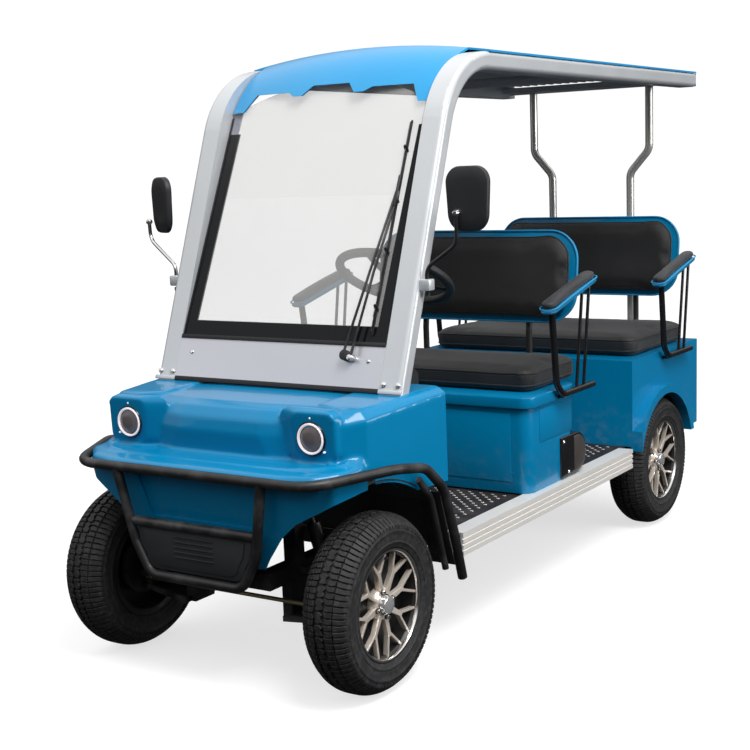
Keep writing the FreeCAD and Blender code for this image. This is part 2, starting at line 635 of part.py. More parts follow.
def hoop_spine(depth):
    """Points of a line that follows the hoop at a depth from its middle, in the side plane."""
    radius = s.hoop_bend + depth
    centre = Vector(0, s.hoop_bend_y, s.hoop_bend_z)
    out = Vector(0, -math.cos(LEAN), math.sin(LEAN))
    low = centre + out * radius
    along = Vector(0, -math.sin(LEAN), -math.cos(LEAN))
    foot = low + along * ((low.z - s.cowl_top + s.bonnet_drop) / math.cos(LEAN))
    half = (math.pi / 2 - LEAN) / 2
    middle = centre + Vector(0, -math.cos(LEAN + half), math.sin(LEAN + half)) * radius
    top = centre + Vector(0, 0, radius)
    rear = Vector(0, HOOP_REAR_Y, top.z)
    return foot, low, middle, top, rear


def band(outer_depth, inner_depth):
    """A flat face between two lines that follow the hoop."""
    edges = []
    outer = hoop_spine(outer_depth)
    inner = hoop_spine(inner_depth)
    for foot, low, middle, top, rear in (outer, inner):
        edges += [Part.makeLine(foot, low), Part.Arc(low, middle, top).toShape(), Part.makeLine(top, rear)]
    edges += [Part.makeLine(outer[0], inner[0]), Part.makeLine(outer[-1], inner[-1])]
    return Part.Face(Part.Wire(Part.sortEdges(edges)[0]))


def make_hoop():
    face = band(s.hoop_depth / 2, -s.hoop_depth / 2)
    bar = face.extrude(Vector(s.hoop_width, 0, 0))
    bar.translate(Vector(s.hoop_outer_x - s.hoop_width, 0, 0))
    long_edges = [edge for edge in bar.Edges
                  if abs(edge.CenterOfMass.x - s.hoop_outer_x) < 0.01 and edge.Length > s.hoop_depth * 2]
    return bar.makeFillet(s.hoop_round, long_edges).cut(nose_block(-s.running_gap))


hoop = make_hoop()
keep(feature("hoop_left", hoop), "roof_hoop_left")
keep(feature("hoop_right", mirrored(hoop)), "roof_hoop_right")


# Roof: a crowned panel over the rails, its front turned down between the hoops in this many steps
VISOR_STEPS = 5


def crowned_section(origin, up, half, edge, crown):
    """A crowned strip across the roof, its edge and crown heights measured along up."""
    def point(x, height):
        return origin + up * height + X_AXIS * x
    outer = Part.Arc(point(-half, edge), point(0, edge + crown), point(half, edge)).toShape()
    inner = Part.Arc(point(-half, edge - s.roof_wall), point(0, edge + crown - s.roof_wall),
                     point(half, edge - s.roof_wall)).toShape()
    left = Part.makeLine(point(half, edge), point(half, edge - s.roof_wall))
    right = Part.makeLine(point(-half, edge), point(-half, edge - s.roof_wall))
    return Part.Wire(Part.sortEdges([outer, left, inner, right])[0])


# The lip's lower edge from the side to the middle: shares of the visor's half width, and heights
LIP_SHARES = (1.02, 0.87, 0.78, 0.42, 0.35, 0.26, 0.18)
LIP_HEIGHTS = (s.lip_side_z, s.lip_side_z, s.lip_scoop_z, s.lip_scoop_z, s.lip_tab_z, s.lip_tab_z,
               s.lip_middle_z)


def make_roof():
    half = s.roof_half_width
    rail_top = s.hoop_bend_z + s.hoop_bend + s.hoop_depth / 2
    seat_share = (s.hoop_outer_x - s.hoop_round) / half
    base = rail_top + 2 * s.running_gap + s.roof_wall - s.roof_crown * (1 - seat_share ** 2)
    flat = Part.Face(crowned_section(Vector(0, s.hoop_bend_y, 0), Z_AXIS, half, base, s.roof_crown))
    flat = flat.extrude(Vector(0, ROOF_REAR_Y - s.hoop_bend_y, 0))
    centre = Vector(0, s.hoop_bend_y, s.hoop_bend_z)
    crown_radius = (half ** 2 + s.roof_crown ** 2) / (2 * s.roof_crown)
    first_crown = crown_radius - math.sqrt(crown_radius ** 2 - s.visor_half_width ** 2)
    first_edge = base + s.roof_crown - first_crown - s.hoop_bend_z
    rings = []
    for step in range(VISOR_STEPS + 1):
        share = step / VISOR_STEPS
        turn = math.radians(s.visor_turn) * share
        up = Vector(0, -math.sin(turn), math.cos(turn))
        edge = first_edge - s.visor_drop * math.sin(share * math.pi / 2)
        crown = first_crown + (s.visor_crown - first_crown) * share
        rings.append(crowned_section(centre, up, s.visor_half_width, edge, crown))
    visor = Part.makeLoft(rings, True, False)
    edge = [(share * s.visor_half_width, height) for share, height in zip(LIP_SHARES, LIP_HEIGHTS)]
    low = s.lip_side_z - s.visor_drop
    corners = [Vector(x, 0, z) for x, z in edge]
    corners += [Vector(-x, 0, z) for x, z in reversed(edge)]
    corners += [Vector(-edge[0][0], 0, low), Vector(edge[0][0], 0, low)]
    below = polygon(corners).extrude(Vector(0, s.hoop_bend_y - 2 * s.hoop_bend, 0))
    return flat.fuse(visor.cut(below)).removeSplitter()


keep(feature("roof_shell", make_roof()), "roof_panel")


# The pale panel on the hoops' front plane, and the windscreen above it, which leans further back
class Plane:
    """A leaning plane across the cart that passes a point, with places on it given by x and z."""
    def __init__(self, point, lean):
        self.point = point
        self.along = Vector(0, math.sin(lean), math.cos(lean))
        self.out = Vector(0, -math.cos(lean), math.sin(lean))

    def at(self, x, z, off=0):
        place = self.point + self.along * ((z - self.point.z) / self.along.z) + self.out * off
        return Vector(x, place.y, place.z)


HOOP_PLANE = Plane(hoop_spine(s.hoop_depth / 2)[0], LEAN)
GLASS_PLANE = Plane(HOOP_PLANE.at(0, s.glass_bottom_z, -s.skin), math.radians(s.glass_lean))


def make_panel():
    half = s.hoop_outer_x - s.hoop_width - s.running_gap
    top = s.glass_bottom_z - s.running_gap
    face = polygon([HOOP_PLANE.at(-half, s.panel_bottom_z), HOOP_PLANE.at(half, s.panel_bottom_z),
                    HOOP_PLANE.at(half, top), HOOP_PLANE.at(-half, top)])
    return face.extrude(HOOP_PLANE.out * -s.panel_wall)


def make_glass():
    """A flat pane whose top edge is an arc that follows the underside of the visor."""
    half = s.hoop_outer_x - s.hoop_width - s.running_gap
    low_left, low_right = GLASS_PLANE.at(half, s.glass_bottom_z), GLASS_PLANE.at(-half, s.glass_bottom_z)
    top_left, top_right = GLASS_PLANE.at(half, s.glass_side_z), GLASS_PLANE.at(-half, s.glass_side_z)
    edge = Part.Wire([Part.makeLine(low_left, top_left),
                      Part.Arc(top_left, GLASS_PLANE.at(0, s.glass_crest_z), top_right).toShape(),
                      Part.makeLine(top_right, low_right), Part.makeLine(low_right, low_left)])
    return Part.Face(edge).extrude(GLASS_PLANE.out * -s.glass_wall)


keep(feature("glass_sheet", make_glass()), "windscreen_glass")
keep(feature("panel_sheet", make_panel()), "windscreen_panel")

# Flat bars across the roof, between the rails
CROSSBAR_COUNT = 4
bars = []
rail_middle = "hoop_bend_z + hoop_bend"
roof_rear_y = "rear_body_rear_y + hoop_overhang + roof_overhang"
for index in range(CROSSBAR_COUNT):
    y = f"hoop_bend_y + ({roof_rear_y} - hoop_bend_y - crossbar_inset) * {index} / {CROSSBAR_COUNT - 1}"
    bars.append(box(f"crossbar_{index}", "2 * (hoop_outer_x - hoop_width)", "crossbar_width",
                    "crossbar_height",
                    "hoop_width - hoop_outer_x", y, f"{rail_middle} - crossbar_height / 2"))
keep(fuse("crossbars_whole", bars), "roof_crossbars")


# Rear uprights: two joggled tubes up the back, and the tube across the rails that they carry
def make_uprights():
    y = s.rear_body_rear_y + s.upright_radius + s.running_gap
    cross_z = s.hoop_bend_z + s.hoop_bend
    half = s.hoop_outer_x - s.hoop_width
    left = bent_tube([Vector(s.upright_low_x, y, s.upright_foot_z),
                      Vector(s.upright_low_x, y, s.joggle_low_z),
                      Vector(s.upright_top_x, y, s.joggle_top_z), Vector(s.upright_top_x, y, cross_z)],
                     s.upright_radius, s.upright_bend)
    cross = Part.makeCylinder(s.upright_radius, 2 * half, Vector(-half, y, cross_z), X_AXIS)
    return cross.fuse([left, mirrored(left)]).removeSplitter()


keep(feature("uprights", make_uprights()), "rear_uprights")


# Bumper bar round the nose, and the guard welded under it
def make_bumper():
    side = [Vector(s.bar_side_x, s.bar_foot_y, s.bar_foot_z),
            Vector(s.bar_side_x, s.bar_knee_y, s.bar_knee_z),
            Vector(s.bar_side_x, s.bar_rise_y, s.bar_rise_z),
            Vector(s.bar_side_x, s.bar_shoulder_y, s.bar_shoulder_z),
            Vector(s.bar_side_x, s.bar_side_y, s.bar_front_z),
            Vector(s.bar_corner_x, s.bar_front_y, s.bar_front_z)]
    other = [Vector(-point.x, point.y, point.z) for point in reversed(side)]
    return bent_tube(side + other, s.bar_radius, s.bar_bend)


bumper = make_bumper()
keep(feature("bumper", bumper), "bumper_bar")


def make_guard():
    route = [Vector(s.guard_top_x, s.bar_front_y, s.bar_front_z - s.bar_radius / 2),
             Vector(s.guard_low_x, s.guard_y, s.guard_cross_z - s.guard_bend),
             Vector(s.guard_foot_x, s.guard_y, s.guard_low_z)]
    other = [Vector(-point.x, point.y, point.z) for point in reversed(route)]
    loop = bent_tube(route + other, s.bar_radius, s.guard_bend)
    cross = Part.makeCylinder(s.bar_radius, 2 * s.guard_low_x,
                              Vector(-s.guard_low_x, s.guard_y, s.guard_cross_z), X_AXIS)
    stays = []
    for sign in (1, -1):
        stays.append(Part.makeCylinder(s.bar_radius, s.frame_front_y - s.guard_y - s.running_gap,
                                       Vector(sign * s.guard_stay_x, s.guard_y, s.guard_low_z), Y_AXIS))
    return loop.fuse([cross] + stays).cut(bumper).removeSplitter()


guard = make_guard()
keep(feature("guard", guard), "guard_frame")


# Ribs on the guard plate: how many, and their places and half length as shares of the plate's
RIB_COUNT = 5
RIB_FIRST_SHARE = 0.3
RIB_STEP_SHARE = 0.11
RIB_HALF_SHARE = 0.6


def make_guard_plate():
    half_top = s.guard_low_x - s.bar_radius / 2
    half_low = s.guard_foot_x
    top = s.guard_cross_z
    low = s.guard_low_z
    back = s.guard_y + s.guard_plate_wall / 2
    face = polygon([Vector(-half_top, back, top), Vector(half_top, back, top),
                    Vector(half_top, back, low + s.guard_bend), Vector(half_low, back, low),
                    Vector(-half_low, back, low), Vector(-half_top, back, low + s.guard_bend)])
    plate = face.extrude(Vector(0, -s.guard_plate_wall, 0))
    ribs = []
    for index in range(RIB_COUNT):
        z = low + (top - low) * (RIB_FIRST_SHARE + RIB_STEP_SHARE * index)
        rib_low = Vector(-half_low * RIB_HALF_SHARE, back - s.guard_plate_wall - s.guard_rib, z)
        rib_high = Vector(half_low * RIB_HALF_SHARE, back, z + s.guard_rib)
        ribs.append(block(rib_low, rib_high))
    return plate.fuse(ribs).cut(guard).removeSplitter()


plate_solids = make_guard_plate()
keep(feature("guard_sheet", max(plate_solids.Solids, key=lambda solid: solid.Volume)), "guard_plate")


# Dash: a hollow shelf between the hoops' feet
def make_dash():
    def form(inset, low):
        side = polygon([Vector(0, s.dash_front_y + inset, low),
                        Vector(0, s.dash_rear_y - inset, low + s.skin),
                        Vector(0, s.dash_rear_y - inset, s.dash_top - inset - s.dash_lip),
                        Vector(0, s.dash_rear_y - s.dash_slope, s.dash_top - inset),
                        Vector(0, s.dash_front_y + s.dash_front_slope + inset, s.dash_top - inset),
                        Vector(0, s.dash_front_y + inset, s.dash_top - inset - s.dash_front_drop)])
        solid = side.extrude(Vector(2 * (s.dash_half_width - inset), 0, 0))
        solid.translate(Vector(inset - s.dash_half_width, 0, 0))
        return solid
    return form(0, s.dash_bottom).cut(form(s.dash_wall, s.dash_bottom - s.overrun))


dash = make_dash()

# Steering wheel and its column, on one leaning line
lean = Rotation(X_AXIS, -s.steering_lean)
wheel_place = Placement(Vector(s.steering_x, s.steering_y, s.steering_z), lean)
grip = doc.addObject("Part::Torus", "grip")
bind(grip, {"Radius1": "steering_rim", "Radius2": "steering_grip"})
hub = rod("hub", "steering_hub", "3 * steering_spoke_wall", "0", "0", "-2 * steering_spoke_wall")
spokes = []
for index in range(3):
    spoke = doc.addObject("Part::Box", f"spoke_{index}")
    bind(spoke, {"Length": "steering_rim", "Width": "steering_spoke", "Height": "steering_spoke_wall"})
    turn = Rotation(Z_AXIS, 30 + 120 * index)
    spoke.Placement = Placement(turn.multVec(Vector(0, -s.steering_spoke / 2, -s.steering_spoke_wall / 2)),
                                turn)
    spokes.append(spoke)
steering_wheel = fuse("steering_wheel_whole", [grip, hub] + spokes)
steering_wheel.Placement = wheel_place
keep(steering_wheel, "steering_wheel")


def make_column():
    axis = lean.multVec(Z_AXIS)
    wheel = Vector(s.steering_x, s.steering_y, s.steering_z)
    top = wheel - axis * (2 * s.steering_spoke_wall + s.running_gap)
    length = (s.steering_z - s.dash_bottom) / axis.z - (wheel - top).Length
    tube = Part.makeCylinder(s.column_radius, length, top, axis * -1)
    pod = Part.makeCylinder(s.column_pod_radius, s.column_pod_length, top - axis * s.column_gap, axis * -1)
    return tube.fuse(pod)


column = make_column()
keep(feature("dash_shell", dash.cut(column)), "dash")
keep(feature("column", column.removeSplitter()), "steering_column")


# Two pedals on a shelf in front of the floor
def make_pedals():
    parts = []
    for sign in (-0.5, 0.5):
        x = s.steering_x + sign * s.pedal_spread
        stem = block(Vector(x - s.pedal_wall, s.floor_front_y + s.overrun, s.floor_top),
                     Vector(x + s.pedal_wall, s.floor_front_y + s.overrun + s.pedal_wall,
                            s.floor_top + s.pedal_length))
        tread = block(Vector(x - s.pedal_width / 2, s.floor_front_y + s.overrun + s.pedal_wall,
                             s.floor_top + s.pedal_length / 4),
                      Vector(x + s.pedal_width / 2, s.floor_front_y + s.overrun + 2 * s.pedal_wall,
                             s.floor_top + s.pedal_length * 5 / 4))
        parts.append(stem.fuse(tread))
    return Part.Compound(parts)


keep(feature("pedal_pair", make_pedals()), "pedals")


# Front seat box: four walls and a top, with a flange under the cushion
seat_box = body("front_seat_box")
plan = [("-seat_box_half_width", "seat_box_front_y"), ("seat_box_half_width", "seat_box_front_y"),
        ("seat_box_half_width", "seat_box_rear_y"), ("-seat_box_half_width", "seat_box_rear_y")]
hollow = [("seat_box_wall - seat_box_half_width", "seat_box_front_y + seat_box_wall"),
          ("seat_box_half_width - seat_box_wall", "seat_box_front_y + seat_box_wall"),
          ("seat_box_half_width - seat_box_wall", "seat_box_rear_y - seat_box_wall"),
          ("seat_box_wall - seat_box_half_width", "seat_box_rear_y - seat_box_wall")]
flange = [("-seat_box_half_width - seat_flange", "seat_box_front_y - seat_flange"),
          ("seat_box_half_width + seat_flange", "seat_box_front_y - seat_flange"),
          ("seat_box_half_width + seat_flange", "seat_box_rear_y"),
          ("-seat_box_half_width - seat_flange", "seat_box_rear_y")]
base = "sill_top + running_gap"
pad(seat_box, "seat_box_block", outline(seat_box, "seat_box_plan", "XY_Plane", [plan], base),
    f"seat_box_top - ({base})")
pad(seat_box, "seat_box_rim", outline(seat_box, "seat_box_flange", "XY_Plane", [flange],
                                      "seat_box_top - seat_flange_height"), "seat_flange_height")
pocket(seat_box, "seat_box_room", outline(seat_box, "seat_box_hollow", "XY_Plane", [hollow],
                                          "seat_box_top - seat_box_wall"), "seat_box_top")
notch_low = ("side_box_inner_x - running_gap", "side_box_front_y - running_gap")
notch = [notch_low, ("seat_box_half_width + overrun", notch_low[1]),
         ("seat_box_half_width + overrun", "seat_box_rear_y + overrun"),
         (notch_low[0], "seat_box_rear_y + overrun")]
side_box_top = "sill_top + running_gap + side_box_height"
pocket(seat_box, "seat_box_notch", outline(seat_box, "seat_box_corner", "XY_Plane", [notch],
                                           f"{side_box_top} + running_gap"), "side_box_height + overrun")
keep(seat_box, "front_seat_box")


# Cushions and backs: plain padded blocks with round corners
def make_cushion(node, front_y, length):
    owner = body(node)
    half = "(seat_box_half_width - cushion_side_inset)"
    plan = [(f"-{half}", front_y), (half, front_y), (half, f"{front_y} + {length}"),
            (f"-{half}", f"{front_y} + {length}")]
    slab = pad(owner, f"{node}_slab",
               outline(owner, f"{node}_plan", "XY_Plane", [plan], "seat_box_top + running_gap"),
               "cushion_height")
    corners = round_edges(owner, f"{node}_corners", slab, "cushion_corner", runs_along(Z_AXIS))
    doc.recompute()
    top = s.seat_box_top + s.running_gap + s.cushion_height
    round_edges(owner, f"{node}_edge", corners, "cushion_edge",
                lambda edge: abs(edge.CenterOfMass.z - top) < 0.01)
    return keep(owner, node)


make_cushion("front_cushion", "front_cushion_y", "front_cushion_length")
make_cushion("rear_cushion", "(rear_body_front_y + rear_cushion_front_inset)",
             "(rear_body_rear_y - rear_cushion_rear_inset - rear_body_front_y - rear_cushion_front_inset)")


def make_back(node, front_y):
    owner = body(node)
    face = [("-back_half_width", "0"), ("back_half_width", "0"),
            ("back_half_width", "back_height"), ("-back_half_width", "back_height")]
    slab = pad(owner, f"{node}_slab", outline(owner, f"{node}_face", "XZ_Plane", [face]), "back_wall",
               backwards=True)
    corners = round_edges(owner, f"{node}_corners", slab, "back_corner", runs_along(Y_AXIS))
    doc.recompute()
    round_edges(owner, f"{node}_edge", corners, "back_edge",
                lambda edge: abs(edge.CenterOfMass.y) < 0.01 or abs(edge.CenterOfMass.y - s.back_wall) < 0.01)
    owner.Placement = Placement(Vector(), Rotation(X_AXIS, -s.back_lean))
    place(owner, "0", front_y, "back_bottom_z")
    return keep(owner, node)


make_back("front_back", "front_back_y")
make_back("rear_back", "rear_body_rear_y - rear_back_inset")


# Posts that carry the two backs, up to this share of a back's height
POST_REACH_SHARE = 0.7


def back_rear(front_y, z):
    """The plane behind a leaning back, at a height."""
    lean_share = math.tan(math.radians(s.back_lean))
    return front_y + (z - s.back_bottom_z) * lean_share + s.back_wall / math.cos(math.radians(s.back_lean))


def make_posts():
    gap = s.post_radius / math.cos(math.radians(s.back_lean)) + s.running_gap
    parts = []

    def behind(front_y, z):
        return Vector(s.post_x, back_rear(front_y, z) + gap, z)

    high_z = s.back_bottom_z + s.back_height * POST_REACH_SHARE
    knee = behind(s.front_back_y, s.back_bottom_z - s.post_bend)
    front = bent_tube([Vector(s.post_x, s.seat_box_rear_y, s.front_post_z),
                       Vector(s.post_x, knee.y, s.front_post_z), knee,
                       behind(s.front_back_y, high_z)], s.post_radius, s.post_bend)
    foot_y = s.rear_body_rear_y - s.rear_cushion_rear_inset + s.post_radius + s.running_gap
    rise = (foot_y - behind(REAR_BACK_Y, s.back_bottom_z).y) / math.tan(math.radians(s.back_lean))
    rear = bent_tube([Vector(s.post_x, foot_y, s.rear_body_top + s.running_gap),
                      behind(REAR_BACK_Y, s.back_bottom_z + rise),
                      behind(REAR_BACK_Y, high_z)], s.post_radius, s.post_bend)
    return Part.Compound([front, mirrored(front), rear, mirrored(rear)])


keep(feature("posts", make_posts()), "seat_back_posts")


# Armrests: a sloping pad on a bent loop, with two thin rods behind it and a foot on the seat's side
ARM_PAD_ROUND_SHARE = 0.42
ROD_FOOT_SHARES = (0.62, 0.78)
ROD_LEAN_SHARE = 0.16
LOOP_SHARES = ((0.11, 1.01), (0.13, 0.85), (0.19, 0.15), (0.32, 0), (1, 0))


def arm_loop(arm_x, front_y, seat):
    """The loop's corners, from under the pad down to the foot, as shares of the pad's length and height."""
    rise = s.arm_pad_z - seat
    return [Vector(arm_x, front_y + s.arm_pad_length * along, seat + rise * up) for along, up in LOOP_SHARES]


def make_arm_pad(arm_x, front_y):
    low = Vector(arm_x - s.arm_pad_width / 2, front_y, s.arm_pad_z)
    far = low + Vector(0, s.arm_pad_length, s.arm_pad_rise)
    up = Vector(0, 0, s.arm_pad_height)
    solid = polygon([low, far, far + up, low + up]).extrude(Vector(s.arm_pad_width, 0, 0))
    long_edges = [edge for edge in solid.Edges if edge.Length > s.arm_pad_length]
    return solid.makeFillet(s.arm_pad_height * ARM_PAD_ROUND_SHARE, long_edges)


def make_arm_frame(arm_x, front_y, side_x, pad_solid):
    seat = s.seat_box_top - s.arm_foot_wall - s.arm_radius
    loop = arm_loop(arm_x, front_y, seat)
    pieces = []
    for share in ROD_FOOT_SHARES:
        low = Vector(arm_x, front_y + s.arm_pad_length * share, seat)
        high = Vector(arm_x, low.y + s.arm_pad_length * ROD_LEAN_SHARE,
                      s.arm_pad_z + s.arm_pad_rise * (share + ROD_LEAN_SHARE) + s.arm_rod_radius)
        pieces.append(Part.makeCylinder(s.arm_rod_radius, (high - low).Length, low, high - low))
    pieces.append(block(Vector(side_x, loop[-2].y, seat - s.arm_radius),
                        Vector(arm_x, front_y + s.arm_pad_length, seat)))
    whole = bent_tube(loop, s.arm_radius, s.arm_bend).fuse(pieces).cut(pad_solid)
    return max(whole.Solids, key=lambda solid: solid.Volume)


pads = []
for row, front_y, side_x, stand_off in (
        ("front", s.front_arm_y, s.seat_box_half_width + s.seat_flange, s.front_arm_stand_off),
        ("rear", REAR_CUSHION_Y + s.rear_arm_inset, s.rear_body_half_width, s.rear_arm_stand_off)):
    pad_solid = make_arm_pad(side_x + stand_off, front_y)
    frame_solid = make_arm_frame(side_x + stand_off, front_y, side_x, pad_solid)
    pads += [pad_solid, mirrored(pad_solid)]
    keep(feature(f"{row}_arms", Part.Compound([frame_solid, mirrored(frame_solid)])), f"{row}_armrest_frames")
keep(feature("arm_pads", Part.Compound(pads)), "armrest_pads")


# Rear body: a hollow tub with open wheel arches and raised flares
def make_rear_body():
    half = s.rear_body_half_width
    wall = s.rear_body_wall
    front = s.rear_body_front_y
    outer = block(Vector(-half, front, s.rear_body_bottom), Vector(half, s.rear_body_rear_y, s.rear_body_top))
    inner = block(Vector(wall - half, front + wall, s.rear_body_bottom - s.overrun),
                  Vector(half - wall, s.rear_body_rear_y - wall, s.rear_body_top - wall))
    floor_room = block(Vector(wall - half, front - s.overrun, s.rear_body_bottom - s.overrun),
                       Vector(half - wall, front + wall + s.running_gap, s.floor_top + s.running_gap))
    shell = outer.cut(inner).cut(floor_room)
    reach = block(Vector(-s.flare_outer_x, front, s.rear_body_bottom),
                  Vector(s.flare_outer_x, s.rear_body_rear_y, s.rear_body_top))
    for sign in (1, -1):
        start = Vector(sign * (half - wall), REAR_AXLE_Y, s.wheel_radius)
        flare = Part.makeCylinder(s.rear_arch_radius + s.flare_width, s.flare_outer_x - half + wall, start,
                                  X_AXIS * sign)
        shell = shell.fuse(flare.common(reach))
        start = Vector(sign * (s.rear_liner_inner_x - s.running_gap), REAR_AXLE_Y, s.wheel_radius)
        shell = shell.cut(Part.makeCylinder(s.rear_arch_radius, s.flare_outer_x, start, X_AXIS * sign))
    return shell.removeSplitter()


keep(feature("rear_shell", make_rear_body()), "rear_body")

# Running gear
rear_axle_y = "front_axle_y + wheelbase"
tube = rod("axle_tube", "axle_tube_radius", "2 * axle_tube_half", "-axle_tube_half", rear_axle_y,
           "wheel_radius", ALONG_X)
gearbox = box("gearbox", "2 * gearbox_half_width", "gearbox_length", "gearbox_height",
              "-gearbox_half_width", f"{rear_axle_y} - gearbox_reach", "wheel_radius - gearbox_height / 2")
drums = [rod(f"drum_{name}", "brake_radius", "2 * brake_wall",
             x, rear_axle_y, "wheel_radius", ALONG_X)
         for name, x in (("left", "axle_tube_half - brake_wall"), ("right", "-axle_tube_half - brake_wall"))]
shafts = [rod("half_shafts", "spindle_radius",
              "2 * (wheel_centre_x + disc_face - disc_wall - running_gap)",
              "-(wheel_centre_x + disc_face - disc_wall - running_gap)", rear_axle_y, "wheel_radius",
              ALONG_X)]
keep(fuse("axle_whole", [tube, gearbox] + drums + shafts), "rear_axle")
keep(rod("motor_case", "motor_radius", "motor_length", "gearbox_half_width + running_gap",
         f"{rear_axle_y} - motor_reach", "wheel_radius", ALONG_X), "drive_motor")


def make_springs():
    axle_y = REAR_AXLE_Y
    low = s.wheel_radius + s.axle_tube_radius + s.running_gap
    radius = (s.spring_half_length ** 2 + s.spring_sag ** 2) / (2 * s.spring_sag)
    centre = Vector(s.spring_x - s.spring_width / 2, axle_y, low + radius)
    leaf = Part.makeCylinder(radius, s.spring_width, centre, X_AXIS)
    leaf = leaf.cut(Part.makeCylinder(radius - s.spring_wall, s.spring_width, centre, X_AXIS))
    reach = block(Vector(centre.x, axle_y - s.spring_half_length, low),
                  Vector(centre.x + s.spring_width, axle_y + s.spring_half_length,
                         low + s.spring_sag + s.spring_wall * 2))
    leaf = leaf.common(reach)
    hangers = []
    for sign in (1, -1):
        y = axle_y + sign * s.spring_half_length
        hangers.append(block(Vector(s.rail_x + s.frame_tube / 2, y - s.spring_wall, low + s.spring_sag),
                             Vector(s.spring_x + s.spring_width / 2, y + s.spring_wall, s.frame_top)))
    whole = leaf.fuse(hangers)
    return Part.Compound([whole, mirrored(whole)])


keep(feature("springs", make_springs()), "rear_springs")


# The coil on a front shock: its length and its start as shares of the shock's
COIL_SHARE = 0.55
COIL_START_SHARE = 0.3


def make_front_suspension():
    """Lower and upper arms from the frame to the kingpin's eyes, with a coil-over shock each side."""
    z = s.wheel_radius
    low_z = z - s.kingpin_half_height - s.running_gap - s.arm_wall
    high_z = z + s.kingpin_half_height + s.running_gap
    rail = s.nose_rail_x + s.frame_tube / 2
    y = s.front_axle_y
    lower = polygon([Vector(s.kingpin_x, y - s.kingpin_radius, low_z),
                     Vector(s.kingpin_x, y + s.kingpin_radius, low_z),
                     Vector(s.nose_rail_x, y + s.lower_arm_root, low_z),
                     Vector(s.nose_rail_x, y - s.lower_arm_root, low_z)])
    lower = lower.extrude(Vector(0, 0, s.arm_wall))
    lower = lower.fuse(Part.makeCylinder(s.arm_eye_radius, s.arm_wall, Vector(s.kingpin_x, y, low_z)))
    lower = lower.fuse(block(Vector(s.nose_rail_x - s.arm_wall, y - s.lower_arm_half, low_z),
                             Vector(s.nose_rail_x + s.arm_wall, y + s.lower_arm_half,
                                    s.frame_top - s.frame_tube)))
    upper = block(Vector(rail, y - s.kingpin_radius, high_z),
                  Vector(s.kingpin_x, y + s.kingpin_radius, high_z + s.arm_wall))
    upper = upper.fuse(Part.makeCylinder(s.arm_eye_radius, s.arm_wall, Vector(s.kingpin_x, y, high_z)))
    foot = Vector(s.kingpin_x - s.shock_foot_inset, y + s.kingpin_radius + s.shock_radius + s.running_gap,
                  low_z + s.arm_wall / 2)
    head = Vector(s.nose_rail_x + s.tower_width / 2 + s.shock_rod_radius, foot.y,
                  s.frame_top + s.tower_height - s.shock_radius)
    line = head - foot
    shock_rod = Part.makeCylinder(s.shock_rod_radius, line.Length, foot, line)
    coil = Part.makeCylinder(s.shock_radius, line.Length * COIL_SHARE, foot + line * COIL_START_SHARE, line)
    pin = block(Vector(s.nose_rail_x + s.tower_width / 2, y, head.z - s.shock_rod_radius),
                Vector(head.x + s.shock_rod_radius, foot.y + s.shock_rod_radius, head.z + s.shock_rod_radius))
    whole = lower.fuse([upper, shock_rod, coil, pin])
    return Part.Compound([whole, mirrored(whole)])


keep(feature("front_arms", make_front_suspension()), "front_suspension")

keep(box("battery", "2 * battery_half_width", "battery_length", "battery_height",
         "-battery_half_width", "(seat_box_front_y + seat_box_rear_y - battery_length) / 2",
         "floor_top + running_gap"), "battery_pack")


# Mirrors on stalks clamped to the hoops
def make_mirror():
    foot = hoop_spine(0)[0]
    clamp_y = foot.y + (s.mirror_clamp_z - foot.z) * math.tan(LEAN)
    x = s.hoop_outer_x
    clamp = block(Vector(x, clamp_y - s.clamp_size / 2, s.mirror_clamp_z - s.clamp_size / 2),
                  Vector(x + s.clamp_size, clamp_y + s.clamp_size / 2, s.mirror_clamp_z + s.clamp_size / 2))
    start = Vector(x + s.clamp_size / 2, clamp_y, s.mirror_clamp_z)
    stalk = bent_tube([start, start + Vector(0, 0, s.stalk_rise),
                       Vector(s.mirror_x - s.stalk_inset, s.mirror_y, s.mirror_z - s.stalk_reach),
                       Vector(s.mirror_x - s.stalk_inset, s.mirror_y, s.mirror_z)],
                      s.mirror_stalk_radius, s.clamp_size)
    head = block(Vector(s.mirror_x - s.mirror_width / 2, s.mirror_y - s.mirror_wall / 2,
                        s.mirror_z - s.mirror_height / 2),
                 Vector(s.mirror_x + s.mirror_width / 2, s.mirror_y + s.mirror_wall / 2,
                        s.mirror_z + s.mirror_height / 2))
    head = head.makeFillet(s.mirror_corner, [edge for edge in head.Edges
                                                 if abs(edge.tangentAt(edge.FirstParameter).y) > 0.9])
    return clamp.fuse([stalk, head]).removeSplitter()


mirror = make_mirror()
keep(feature("mirror_one", mirror), "mirror_left")
keep(feature("mirror_two", mirrored(mirror)), "mirror_right")


# Wiper: a thin arm from a pivot on the pale panel to the hinge of one long blade
def make_wiper():
    axle = HOOP_PLANE.at(s.wiper_pivot_x, s.wiper_pivot_z)
    pivot = Part.makeCylinder(s.wiper_blade_width, s.wiper_stand_off, axle, HOOP_PLANE.out)
    start = axle + HOOP_PLANE.out * (s.wiper_stand_off - s.wiper_arm_radius)
    hinge = GLASS_PLANE.at(s.wiper_x, s.wiper_hinge_z, s.wiper_stand_off / 2)
    arm = Part.makeCylinder(s.wiper_arm_radius, (hinge - start).Length, start, hinge - start)
    half = X_AXIS * (s.wiper_blade_width / 2)
    low = GLASS_PLANE.at(s.wiper_x, s.wiper_blade_bottom_z, s.running_gap)
    high = GLASS_PLANE.at(s.wiper_x, s.wiper_blade_top_z, s.running_gap)
    blade = polygon([low - half, low + half, high + half, high - half])
    blade = blade.extrude(GLASS_PLANE.out * (s.wiper_stand_off / 2))
    return pivot.fuse([arm, blade]).removeSplitter()


keep(feature("wiper_whole", make_wiper()), "wiper")


